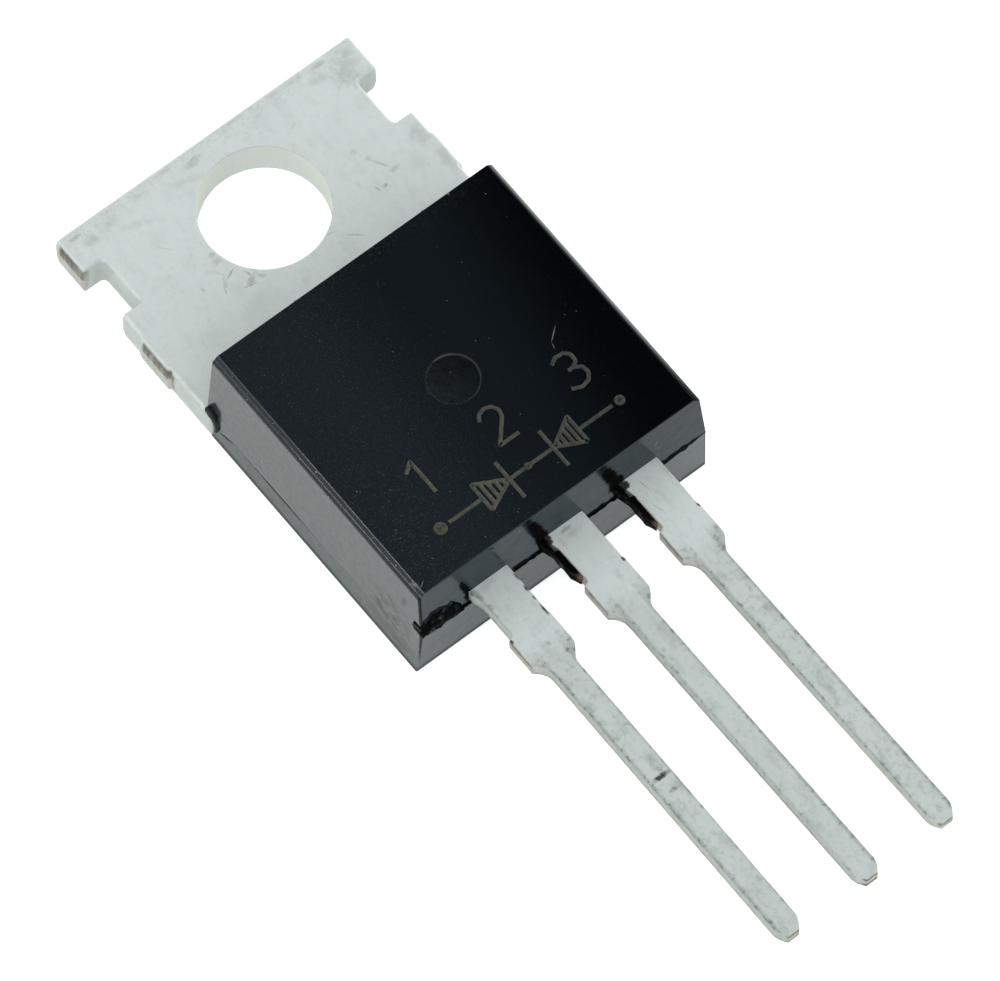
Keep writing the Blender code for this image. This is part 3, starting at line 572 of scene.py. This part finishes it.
# The first six rows are painted dark reflections of the leads' black flash strips, above each lead.
front_flash_and_dark_reflections = on_front_face(
    (-0.86, -4.45, 3.55, 0.29, 1.15, -19, 1.0), (-0.72, -4.50, 3.00, 0.34, 0.50, 0, 1.0),
    (1.68, -4.45, 3.45, 0.31, 1.20, -17, 1.0), (1.80, -4.50, 3.00, 0.38, 0.55, 0, 1.0),
    (-3.30, -4.45, 3.20, 0.17, 0.85, -14, 0.9), (-3.20, -4.50, 2.75, 0.24, 0.40, 0, 1.0),
    (-2.30, -4.36, 4.20, 0.20, 0.05, 35, 0.7), (-0.30, -4.50, 2.60, 0.35, 0.14, 0, 0.6),
    (2.20, -4.50, 2.62, 0.35, 0.12, 0, 0.6), (-1.50, -4.50, 2.52, 0.5, 0.08, 0, 0.6))
top_scratches = [
    ((2.84, -0.50, 4.34), (0.020, 0.36, 0.2), (0, 0, -50), 0.75),
    ((2.62, -0.78, 4.34), (0.016, 0.14, 0.2), (0, 0, -15), 0.6),
    ((-1.36, -4.37, 4.06), (0.016, 0.3, 0.14), (0, 25, 0), 0.6),
    ((3.20, -4.44, 3.55), (0.018, 0.3, 0.24), (0, 30, 0), 0.6),
    ((3.30, -4.47, 3.25), (0.018, 0.3, 0.14), (0, 30, 0), 0.5),
    ((-4.60, -3.95, 4.30), (0.10, 0.22, 0.1), (0, 0, 30), 0.5),
    ((-4.45, -4.1, 4.34), (0.02, 0.20, 0.1), (0, 0, -60), 0.5),
]
print(len(front_flash_and_dark_reflections), "black marks")

# %% Moulded epoxy
def moulded_epoxy(name):
    """Black epoxy whose gloss sits in a clear coat, so that dirt, black crusts and painted shade take it
    away.
    """
    made, shader, position = new_material(name)
    facing = direction(made)
    across, along, above = split(position)
    on_top = ramp(facing[2], 0.9, 0.985)
    upright = minus(1.0, on_top)
    on_left = ramp(facing[0], -0.90, -0.985)
    on_front = ramp(facing[1], -0.90, -0.98)
    on_lower_front = times(on_front, ramp(above, 2.45, 2.38))
    on_chamfer = times(ramp(facing[0], -0.35, -0.5), ramp(facing[0], -0.92, -0.8))
    on_right_chamfer = times(ramp(facing[0], 0.03, 0.12), ramp(facing[0], 0.92, 0.8))
    film = use(clouds, stretched(position, 1.0, 0.8, 1.5), 0.9, 0.34, 0.66)
    fine_film = use(clouds, position, 5.0, 0.40, 0.70)
    fine_grain = fine_film["Grain"]
    swirl = use(clouds, stretched(position, 1.0, 1.0, 1.4), 2.2, 0.42, 0.60)["Mask"]
    flecks = use(specks, position, 5.0, 0.11, 0.30)["Mask"]
    powder = use(clouds, position, 21.0, 0.52, 0.74)["Mask"]
    hairs = use(scratches, position, 0.6, 0.004, 0.4)["Mask"]

    haze = times(upright, times_plus(film["Mask"], 0.42, 0.05))
    greased = largest(on_left, times(on_lower_front, 0.8))
    haze = times(haze, times_plus(greased, 0.85, 0.15))
    dirty = stained(position, [((-4.85, -3.3, 1.6), (0.4, 1.5, 1.5), (35, 0, 0), 1.0)], 0.2, 0.0)
    dirty = times(dirty, on_left)
    smeared = times(dirty, minus(1.0, swirl))

    dark_marks = stained(position, dark_side_marks, 0.25, 0.25, 0.2)
    dark_reflections_and_flash = ramp(stained(position, front_flash_and_dark_reflections, 0.24, 0.06, 0.35), 0.04, 0.58)
    from_left = times_plus(above, -LEFT_DRAFT, plus(across, LEFT_FACE))
    rise = largest(minus(above, SEAM_Z), 0.0)
    from_front = times_plus(rise, -FRONT_DRAFT, plus(along, FRONT_FACE))
    corner = times(ramp(largest(from_left, from_front), 0.095, 0.04), ramp(fine_grain, 0.36, 0.52))
    from_ring = length(vector_calc("SUBTRACT", position, EJECTOR_CENTRE))
    in_mark = ramp(from_ring, 0.74, 0.68)
    # Painted highlight: a pale ring along the rim of the ejector mark.
    rim = times(ramp(from_ring, 0.67, 0.72), ramp(from_ring, 0.80, 0.75), ramp(film["Grain"], 0.45, 0.65))
    blot = times(use(clouds, position, 2.6, 0.50, 0.62)["Mask"], in_mark)
    # Painted shade: upright faces darken towards the base of the body.
    low_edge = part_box("moulded_body")[0].z / MM
    bottom_shade = times(ramp(above, low_edge + 0.36, low_edge + 0.18), upright, ramp(fine_grain, 0.30, 0.50))
    # This mask also carries painted shade at the base and painted dark reflections on the front.
    crust_and_shade = largest(dark_reflections_and_flash, dark_marks, times(bottom_shade, 0.55), corner)

    dusty = largest(ramp(across, 1.5, -3.8), times(ramp(along, 3.6, 4.6), 0.8))
    to_corner = times(ramp(across, -2.2, -4.2), ramp(along, 1.0, -3.6))
    dusty = times_plus(to_corner, 0.8, dusty)
    dense = times_plus(times(dusty, times_plus(fine_film["Mask"], 0.7, 0.3)), 0.16, 0.02)
    dust = largest(times(flecks, times_plus(dusty, 0.30, 0.10)), times(powder, dense), times(hairs, 0.04))
    dust = times(dust, times_plus(on_top, 0.75, 0.25))
    left_rims = zones(position, [((-4.77, -4.6, 4.235), (-4.60, 4.8, 4.252)),
                                 ((-4.60, -4.6, 4.325), (-4.545, 4.8, 4.36))], 0.008)
    back_rim = zones(position, [((-4.6, 4.545, 4.28), (4.7, 4.62, 4.36))], 0.012)
    rims = times(largest(left_rims, back_rim), ramp(fine_grain, 0.46, 0.64))
    dust = largest(dust, times(rims, 0.75))
    chipped = times(ramp(fine_grain, 0.53, 0.60), left_rims, ramp(along, 1.6, 0.4))
    pale_marks = largest(stained(position, pale_side_marks, 0.12, 0.3),
                         stained(position, top_scratches, 0.1, 0.2))
    # Painted highlight: glints inside the ejector mark.
    glints = times(ramp(fine_grain, 0.58, 0.66), in_mark, ramp(across, 0.5, -0.5))
    # Painted reflection: a pale band along the right chamfer, where the edge mirrors the white surroundings.
    painted_chamfer_reflection = times(on_right_chamfer, ramp(across, 4.57, 4.74), ramp(along, -5.2, -1.0))
    colour = painted(
        LEFT_TOP, (ramp(across, -3.2, 0.8), MIDDLE_TOP),
        (ramp(times_plus(along, -0.16, across), 0.9, 4.4), RIGHT_TOP), (haze, FILM),
        (times(smeared, 0.5), FILM), (times(on_front, 0.55), FRONT_SHADE),
        (largest(crust_and_shade, times(blot, 0.6)), GRIME_AND_SHADE), (pale_marks, SEAM), (dust, DUST_AND_HIGHLIGHT), (chipped, CHIPPED),
        (times(glints, 0.20), DUST_AND_HIGHLIGHT), (times(rim, 0.06), DUST_AND_HIGHLIGHT), (times(painted_chamfer_reflection, 0.75), CHAMFER_REFLECTION))

    mottle = times_plus(fine_film["Mask"], 0.13, times(film["Mask"], 0.16))
    gloss = minus(1.0, times(mottle, times_plus(on_front, -0.5, upright)))
    lower_left = times(on_left, ramp(above, 1.14, 1.02))
    for mask, change in ((lower_left, -0.13), (dirty, -0.08), (times(dirty, swirl), -0.26), (on_front, -0.27),
                         (on_lower_front, 0.12), (on_chamfer, -0.40)):
        gloss = times_plus(mask, change, gloss)
    for mask, strength in ((crust_and_shade, 0.96), (on_right_chamfer, 0.97), (blot, 0.5), (rim, 0.6), (dust, 0.6),
                           (pale_marks, 0.3)):
        gloss = times(gloss, times_plus(mask, -strength, 1.0))
    feed(shader, {"Base Color": colour, "Roughness": times_plus(largest(crust_and_shade, dust), 0.4, 0.25),
                  "Coat Weight": gloss, "Coat Roughness": 0.17, "Coat IOR": 1.5, "Specular IOR Level": 0.0})
    height = times(noise_at(position, 0.9, 1.0), 0.5)
    height = plus(height, times(film["Grain"], times_plus(on_top, 0.3, 0.04)), times(blot, 1.2))
    bump(shader, height, 0.01)
    print(name, len(made.node_tree.nodes), "nodes")
    return made


epoxy_finish = moulded_epoxy("moulding_epoxy")

# %% Broken epoxy
def rough_epoxy(name, pale, dark):
    """Epoxy where it broke off: dull, black and grainy, with the odd glossy streak."""
    made, shader, position = new_material(name)
    across, along, above = split(position)
    grain = use(clouds, position, 6.0, 0.48, 0.72)
    streaks = use(clouds, stretched(position, 3.0, 0.7, 3.0), 2.0, 0.54, 0.62)
    on_hook = ramp(along, 3.9, 4.1)
    # Painted reflection: the hook and the fin's right end are painted grey, and the hook's foot paler still.
    hook_and_fin_reflection = largest(on_hook, ramp(across, 2.9, 3.5))
    hook_foot_highlight = times(on_hook, ramp(above, 1.45, 0.95))
    coppery = stained(position, [((-0.66, -6.05, 2.8), (0.20, 0.24, 0.4), (0, 0, 0), 1.0),
                                 ((1.88, -6.08, 2.8), (0.20, 0.24, 0.4), (0, 0, 0), 1.0)], 0.2, 0.2)
    colour = painted(dark, (grain["Mask"], pale), (times(hook_and_fin_reflection, 0.8), GREY_REFLECTION),
                     (times(hook_foot_highlight, 0.85), FOOT_HIGHLIGHT), (coppery, COPPER_SMEAR))
    feed(shader, {"Base Color": colour, "Roughness": times_plus(grain["Grain"], 0.3, 0.5),
                  "Coat Weight": times(streaks["Mask"], 0.45), "Coat Roughness": 0.25,
                  "Specular IOR Level": 0.02})
    bump(shader, grain["Grain"], 0.03)
    return made


broken_finish = rough_epoxy("broken_epoxy", (0.0060, 0.0065, 0.0062, 1), (0.0012, 0.0013, 0.0013, 1))

# %% [markdown]
# ## The visible metal and the body
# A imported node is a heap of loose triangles, good for machines and less so for light. Each visible node is
# copied, its triangles are merged, flat stretches become single faces again, and normals are weighted by
# area, so that the rolled-over edges catch the light softly and the flats stay flat.

# %% Refined copies
FLASH_Y = -4.56
GATE_X, GATE_Y, GATE_LOW, GATE_HIGH = -3.40, -4.2, 2.43, 2.98
HOOK_X, HOOK_Y, HOOK_LOW = -4.90, 4.15, 0.5
FIN_START_X, FIN_CORNER_X, FIN_END_X = 4.2, 4.72, 4.828
FIN_Y, FIN_SLOPE = -4.556, 0.055 / 0.52
LONGEST_BROKEN_EDGE = 0.09
CRAGS = ((5.0, 0.022), (14.0, 0.010))


def is_broken(point):
    """Whether a place on the body, in millimetres, lies on flash, on the gate's stub or on the hook."""
    x, y, z = point
    on_gate = x < GATE_X and y < GATE_Y and GATE_LOW < z < GATE_HIGH
    on_hook = x < HOOK_X and y > HOOK_Y and z > HOOK_LOW
    return y < FLASH_Y or on_gate or on_hook


def roughened(bm, faces):
    """Marks the broken faces, cuts them finer, moves their inner points by noise and trims the fin."""
    for face in faces:
        face.material_index = 1
    bmesh.ops.triangulate(bm, faces=faces)
    for cut in range(4):
        long_edges = [edge for edge in bm.edges if edge.calc_length() > LONGEST_BROKEN_EDGE * MM
                      and any(face.material_index for face in edge.link_faces)]
        bmesh.ops.subdivide_edges(bm, edges=long_edges, cuts=1, use_grid_fill=True)
        mixed = [face for face in bm.faces if face.material_index and len(face.verts) > 3]
        bmesh.ops.triangulate(bm, faces=mixed)
    for vertex in bm.verts:
        if all(face.material_index for face in vertex.link_faces):
            for waves_per_mm, depth in CRAGS:
                vertex.co += noise.noise_vector(vertex.co / MM * waves_per_mm) * depth * MM
        if any(face.material_index for face in vertex.link_faces) and vertex.co.x > FIN_START_X * MM:
            before_corner = max(0.0, FIN_CORNER_X * MM - vertex.co.x)
            vertex.co.y = max(vertex.co.y, FIN_Y * MM - before_corner * FIN_SLOPE)
            vertex.co.x = min(vertex.co.x, FIN_END_X * MM)


def refined(node, name, finishes, smooth_angle=40, broken=None):
    """A merged, smoothly shaded copy of a node, which stands for it."""
    bm = bmesh.new()
    bm.from_mesh(nodes[node].data)
    for face in bm.faces:
        face.material_index = 0
    bmesh.ops.remove_doubles(bm, verts=bm.verts, dist=0.0005 * MM)
    bmesh.ops.dissolve_limit(bm, angle_limit=math.radians(0.3), verts=bm.verts, edges=bm.edges)
    if broken:
        roughened(bm, [face for face in bm.faces if broken(face.calc_center_median() / MM)])
    bm.verts.index_update()
    points = [vertex.co.copy() for vertex in bm.verts]
    faces = [[vertex.index for vertex in face.verts] for face in bm.faces]
    finish_numbers = [face.material_index for face in bm.faces]
    bm.free()
    mesh = bpy.data.meshes.new(name)
    mesh.from_pydata(points, [], faces)
    for finish in finishes:
        mesh.materials.append(finish)
    mesh.polygons.foreach_set("material_index", finish_numbers)
    mesh.shade_smooth()
    mesh.set_sharp_from_angle(angle=math.radians(smooth_angle))
    piece = placed(name, mesh)
    piece.modifiers.new("weighted normals", "WEIGHTED_NORMAL").keep_sharp = True
    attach(piece, "root")
    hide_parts(node)
    print(name, len(mesh.polygons), "faces,", sum(finish_numbers), "of them broken")


refined("heatsink_tab", "plated_tab", [tab_finish])
refined("anode_lead_left", "plated_left_lead", [lead_finish])
refined("anode_lead_right", "plated_right_lead", [lead_finish])
refined("moulded_body", "epoxy_body", [epoxy_finish, broken_finish], 25, is_broken)

# %% [markdown]
# ## Laser marks
# A laser burned the circuit symbol into the top: two diodes that share the middle lead. A burned line is a
# row of tiny overlapping spots, so it wavers and is a little paler than the epoxy. Each stroke is a curve,
# and a Geometry Nodes tree lays a thin ribbon along every one of them.

# %% The strokes of the symbol and of the lead numbers
SYMBOL_Y = -3.12
strokes = [[(-2.76, SYMBOL_Y), (-1.63, SYMBOL_Y)], [(-0.72, SYMBOL_Y), (0.72, SYMBOL_Y)],
           [(1.62, SYMBOL_Y), (2.76, SYMBOL_Y)]]
for base_x, tip_x, bar_x in ((-1.63, -0.70, -0.72), (1.61, 0.78, 0.76)):
    base_low, base_high = SYMBOL_Y - 0.43, SYMBOL_Y + 0.50
    strokes.append([(base_x, base_low), (base_x, base_high), (tip_x, SYMBOL_Y), (base_x, base_low)])
    strokes.append([(bar_x, SYMBOL_Y - 0.66), (bar_x, SYMBOL_Y + 0.63)])
    hatch_count = 5
    for step in range(1, hatch_count):
        share = step / hatch_count
        x = base_x + (tip_x - base_x) * share
        strokes.append([(x, SYMBOL_Y + (base_low - SYMBOL_Y) * (1 - share)),
                        (x, SYMBOL_Y + (base_high - SYMBOL_Y) * (1 - share))])
for x, radius in ((-3.04, 0.14), (-3.04, 0.05), (3.01, 0.10), (3.01, 0.03), (-0.10, 0.06)):
    turns = [math.tau * step / 12 for step in range(13)]
    strokes.append([(x + radius * math.cos(turn), SYMBOL_Y + radius * math.sin(turn)) for turn in turns])

DIGIT_HEIGHT = 1.12
DIGIT_BASE_Y = -2.20
digit_strokes = {
    -2.54: [[(-0.22, 0.78), (0.06, 1.0), (0.06, 0.0)]],
    0.0: [[(-0.28, 0.78), (-0.18, 0.94), (0.0, 1.0), (0.19, 0.94), (0.28, 0.77), (0.24, 0.58), (-0.28, 0.0),
           (0.30, 0.0)]],
    2.54: [[(-0.28, 0.88), (-0.10, 1.0), (0.12, 0.98), (0.26, 0.84), (0.24, 0.64), (0.10, 0.54),
            (-0.06, 0.53)],
           [(0.10, 0.53), (0.27, 0.42), (0.30, 0.22), (0.18, 0.05), (-0.06, 0.0), (-0.30, 0.11)]],
}
for x, rows in digit_strokes.items():
    for row in rows:
        strokes.append([(x + u * DIGIT_HEIGHT, DIGIT_BASE_Y + v * DIGIT_HEIGHT) for u, v in row])
print(len(strokes), "strokes")

# %% The ribbon tree
top_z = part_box("moulded_body")[1].z


def geometry_tree(name, inputs):
    """An empty Geometry Nodes tree with a geometry in and out, and (title, kind, default) inputs."""
    tree = bpy.data.node_groups.new(name, "GeometryNodeTree")
    tree.interface.new_socket("Geometry", in_out="INPUT", socket_type="NodeSocketGeometry")
    for title, kind, default in inputs:
        socket = tree.interface.new_socket(title, in_out="INPUT", socket_type=f"NodeSocket{kind}")
        if default is not None:
            socket.default_value = default
    tree.interface.new_socket("Geometry", in_out="OUTPUT", socket_type="NodeSocketGeometry")
    return tree, tree.nodes.new("NodeGroupInput").outputs, tree.nodes.new("NodeGroupOutput")


def finish_tree(tree, geometry, material, out):
    """The last two steps of every tree: real geometry instead of instances, and its material."""
    real = add(tree, "GeometryNodeRealizeInstances", [geometry]).outputs[0]
    feed(out, [add(tree, "GeometryNodeSetMaterial", {"Geometry": real, "Material": material}).outputs[0]])


def grown(name, source, tree, values):
    """Runs a tree on a source object and keeps the result as a plain mesh piece."""
    step = source.modifiers.new(tree.name, "NODES")
    step.node_group = tree
    for title, value in values.items():
        step[tree.interface.items_tree[title].identifier] = value
    bpy.context.view_layer.update()
    evaluated = source.evaluated_get(bpy.context.evaluated_depsgraph_get())
    mesh = bpy.data.meshes.new_from_object(evaluated)
    mesh.name = name
    bpy.data.objects.remove(source, do_unlink=True)
    print(name, len(mesh.polygons), "faces")
    return placed(name, mesh)


ribbons, given, out = geometry_tree("laser_ribbons", [
    ("Stroke Width", "Float", 0.115 * MM), ("Thickness", "Float", 0.004 * MM), ("Step", "Float", 0.04 * MM),
    ("Waver", "Float", 0.012 * MM), ("Material", "Material", None)])
dense = add(ribbons, "GeometryNodeResampleCurve", {"Curve": given["Geometry"], "Length": given["Step"]},
            mode="LENGTH").outputs[0]
here = add(ribbons, "GeometryNodeInputPosition").outputs[0]
shake = add(ribbons, "ShaderNodeTexNoise", {"Vector": here, "Scale": 9000.0, "Detail": 1.0}).outputs["Color"]
flat = stretched(vector_calc("SUBTRACT", shake, (0.5, 0.5, 0.5)), 2.0, 2.0, 0.0)
sideways = add(ribbons, "ShaderNodeVectorMath", {0: flat, "Scale": given["Waver"]},
               operation="SCALE").outputs[0]
shaken = add(ribbons, "GeometryNodeSetPosition", {"Geometry": dense, "Offset": sideways}).outputs[0]
section = add(ribbons, "GeometryNodeCurvePrimitiveQuadrilateral",
              {"Width": given["Stroke Width"], "Height": given["Thickness"]}).outputs[0]
ribbon = add(ribbons, "GeometryNodeCurveToMesh",
             {"Curve": shaken, "Profile Curve": section, "Fill Caps": True}).outputs[0]
finish_tree(ribbons, ribbon, given["Material"], out)
print("ribbon tree:", len(ribbons.nodes), "nodes")

# %% Burned epoxy, and the marks
LEFT_BURN = (0.013, 0.0135, 0.008, 1)
LEFT_BURN_PALE = (0.045, 0.046, 0.027, 1)
LEFT_FUME = (0.068, 0.067, 0.041, 1)
RIGHT_BURN = (0.005, 0.005, 0.004, 1)
RIGHT_BURN_PALE = (0.025, 0.024, 0.018, 1)
burned_finish, shader, position = new_material("laser_burned_epoxy")
burn = use(clouds, position, 4.5, 0.36, 0.62)
fume = use(clouds, position, 14.0, 0.46, 0.64)
left_burn = painted(LEFT_BURN, (burn["Mask"], LEFT_BURN_PALE), (times(fume["Mask"], 0.5), LEFT_FUME))
right_burn = blend(burn["Mask"], RIGHT_BURN, RIGHT_BURN_PALE)
feed(shader, {"Base Color": blend(ramp(split(position)[0], -2.0, 2.6), left_burn, right_burn),
              "Roughness": times_plus(burn["Grain"], 0.2, 0.45)})
bump(shader, fume["Grain"], 0.010)

curve = bpy.data.curves.new("stroke_paths", "CURVE")
curve.dimensions = "3D"
for number, stroke in enumerate(strokes):
    spline = curve.splines.new("POLY")
    spline.points.add(len(stroke) - 1)
    height = top_z + number * 0.0006 * MM
    for point, (x, y) in zip(spline.points, stroke):
        point.co = (x * MM, y * MM, height, 1)
marks = grown("laser_marks", placed("stroke_paths", curve), ribbons, {"Material": burned_finish})
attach(marks, "root")

# %% [markdown]
# ## Crumbs
# Dust and crumbs of epoxy cling to the top, to the left chamfer and along the upper edges. One tree scatters
# little faceted grains over any source mesh: the source says where, and the named inputs say how many, how
# large, and of what.

# %% The crumb tree
crumbs, given, out = geometry_tree("crumbs", [
    ("Per mm2", "Float", 2.0), ("Smallest", "Float", 0.010 * MM), ("Largest", "Float", 0.035 * MM),
    ("Flatness", "Float", 0.5), ("Seed", "Int", 0), ("Material", "Material", None)])
density = times(given["Per mm2"], 1 / MM ** 2)
places = add(crumbs, "GeometryNodeDistributePointsOnFaces",
             {"Mesh": given["Geometry"], "Density": density, "Seed": given["Seed"]}).outputs[0]
grain = add(crumbs, "GeometryNodeMeshIcoSphere", {"Radius": 1.0, "Subdivisions": 1}).outputs[0]
chance = add(crumbs, "FunctionNodeRandomValue", {"Seed": given["Seed"]}, data_type="FLOAT").outputs[1]
size = add(crumbs, "ShaderNodeMapRange", {"Value": calc("POWER", chance, 3.0), "To Min": given["Smallest"],
                                          "To Max": given["Largest"]}).outputs[0]
flattened = add(crumbs, "ShaderNodeCombineXYZ", [1.0, 0.7, given["Flatness"]]).outputs[0]
scale = add(crumbs, "ShaderNodeVectorMath", {0: flattened, "Scale": size}, operation="SCALE").outputs[0]
spin = add(crumbs, "FunctionNodeRandomValue", {1: (0.6, 0.6, math.tau), "Seed": 7},
           data_type="FLOAT_VECTOR").outputs[0]
scattered = add(crumbs, "GeometryNodeInstanceOnPoints",
                {"Points": places, "Instance": grain, "Rotation": spin, "Scale": scale}).outputs[0]
finish_tree(crumbs, scattered, given["Material"], out)


def patch(name, quads):
    """A mesh of separate four-sided patches, given in millimetres."""
    points = [Vector(corner) * MM for quad in quads for corner in quad]
    mesh = bpy.data.meshes.new(name)
    mesh.from_pydata(points, [], [tuple(range(4 * n, 4 * n + 4)) for n in range(len(quads))])
    return placed(name, mesh)


def flat_quad(low_x, low_y, high_x, high_y, z):
    return [(low_x, low_y, z), (high_x, low_y, z), (high_x, high_y, z), (low_x, high_y, z)]


pale_crumb, ochre_crumb, black_crumb = [
    clouded_finish(name, pale, dark, (9.0, 0.40, 0.60), 0.5, 0.3) for name, pale, dark in (
        ("dust_grains", (0.26, 0.27, 0.27, 1), (0.03, 0.035, 0.04, 1)),
        ("ochre_grains", (0.34, 0.25, 0.10, 1), (0.08, 0.06, 0.035, 1)),
        ("epoxy_grains", (0.016, 0.016, 0.015, 1), (0.003, 0.003, 0.003, 1)))]

# %% Crumbs on the body
TOP_Z = 4.342
scatterings = {
    "dust_on_top": (pale_crumb, 1.4, 0.004, 0.018, 3, [flat_quad(-4.4, -4.2, 4.4, 4.4, TOP_Z)]),
    "dust_at_the_left": (pale_crumb, 8.0, 0.005, 0.020, 5, [flat_quad(-4.5, -4.3, -2.9, -0.6, TOP_Z)]),
    "dust_on_the_chamfer": (pale_crumb, 30.0, 0.007, 0.034, 11, [
        [(-4.75, -4.2, 4.16), (-4.57, -4.2, 4.34), (-4.57, 4.3, 4.34), (-4.75, 4.3, 4.16)]]),
    "crumbs_at_the_back_edge": (ochre_crumb, 34.0, 0.008, 0.034, 2, [
        flat_quad(-4.4, 4.49, 4.4, 4.56, TOP_Z)]),
    "crumbs_at_the_tab": (black_crumb, 9.0, 0.010, 0.045, 4, [flat_quad(-4.8, 4.70, 4.8, 4.80, 1.30)]),
    "crumbs_by_the_leads": (black_crumb, 110.0, 0.012, 0.045, 9, [
        flat_quad(-1.88, -5.1, -1.80, -4.56, 2.80), flat_quad(-3.32, -4.75, -3.20, -4.56, 2.60)]),
}
for name, (finish, per_mm2, smallest, largest_grain, seed, quads) in scatterings.items():
    piece = grown(name, patch(name + "_source", quads), crumbs, {
        "Per mm2": per_mm2, "Smallest": smallest * MM, "Largest": largest_grain * MM, "Seed": seed,
        "Material": finish})
    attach(piece, "root")

# %% [markdown]
# ## What is inside
# The dies, the solder under them and the bond wires are sealed in the epoxy. They keep their solids and
# still get finishes of their own, for whoever cuts the part open.

# %% Finishes of the sealed pieces
sealed_finishes = {
    "schottky_die": clouded_finish("polished_silicon", (0.20, 0.21, 0.24, 1), (0.15, 0.16, 0.20, 1),
                                   (1.2, 0.35, 0.7), 0.12, 0.2, 0.6),
    "die_solder": clouded_finish("dull_solder", (0.44, 0.45, 0.46, 1), (0.32, 0.33, 0.34, 1),
                                 (3.0, 0.35, 0.7), 0.38, 0.2, 1.0),
    "bond_wire": clouded_finish("drawn_aluminium", (0.74, 0.75, 0.76, 1), (0.60, 0.61, 0.63, 1),
                                (4.0, 0.35, 0.7), 0.22, 0.2, 1.0),
}
for name, node in nodes.items():
    for part, finish in sealed_finishes.items():
        if name.startswith(part):
            node.data.materials.clear()
            node.data.materials.append(finish)
            print(name, "gets", finish.name)

# %% [markdown]
# ## Table and light
# The part lies on a white table in a light tent. Matt metal needs light from all round, and the black top
# must mirror something dark, so the tent has one dark opening overhead, where the camera looks in.

# %% Table
REACH = 1500
JUST_BELOW = -0.01
floor = patch("table", [flat_quad(-REACH, -REACH, REACH, REACH, JUST_BELOW)])
paper = bpy.data.materials.new("white_table")
paper.use_nodes = True
rays = add(paper.node_tree, "ShaderNodeLightPath").outputs
seen = largest(times(rays["Is Camera Ray"], 0.6), times(rays["Is Glossy Ray"], 0.395))
feed(paper.node_tree.nodes["Principled BSDF"], {
    "Base Color": (0.825, 0.868, 0.86, 1), "Roughness": 0.9, "Emission Color": (1, 1, 1, 1),
    "Emission Strength": seen})
floor.data.materials.append(paper)
print("table", 2 * REACH * MM, "m wide")

# %% Light tent
world = bpy.data.worlds.new("light_tent")
world.use_nodes = True
bpy.context.scene.world = world
toward = add(world.node_tree, "ShaderNodeTexCoord").outputs["Generated"]
opening = Vector((0.262, 0.333, 0.906)).normalized()
aim = add(world.node_tree, "ShaderNodeVectorMath", [toward, opening],
          operation="DOT_PRODUCT").outputs["Value"]
seen = add(world.node_tree, "ShaderNodeLightPath").outputs["Is Camera Ray"]
feed(world.node_tree.nodes["Background"], {
    "Strength": blend_value(seen, ramp(aim, 0.79, 0.915, 1.35, 0.01), 1.0),
    "Color": blend(seen, (0.965, 1.0, 0.990, 1), (1, 1, 1, 1))})

# %% A soft lamp at the right, which looks at the part
lamp = bpy.data.lights.new("right_softbox", "AREA")
lamp.size = 0.30
lamp.energy = 0.7
softbox = placed("right_softbox", lamp)
toward = Vector((0.86, 0.20, 0.30)).normalized()
softbox.location = toward * 0.5
softbox.rotation_mode = "QUATERNION"
softbox.rotation_quaternion = toward.to_track_quat("Z", "Y")
print("tent and softbox")
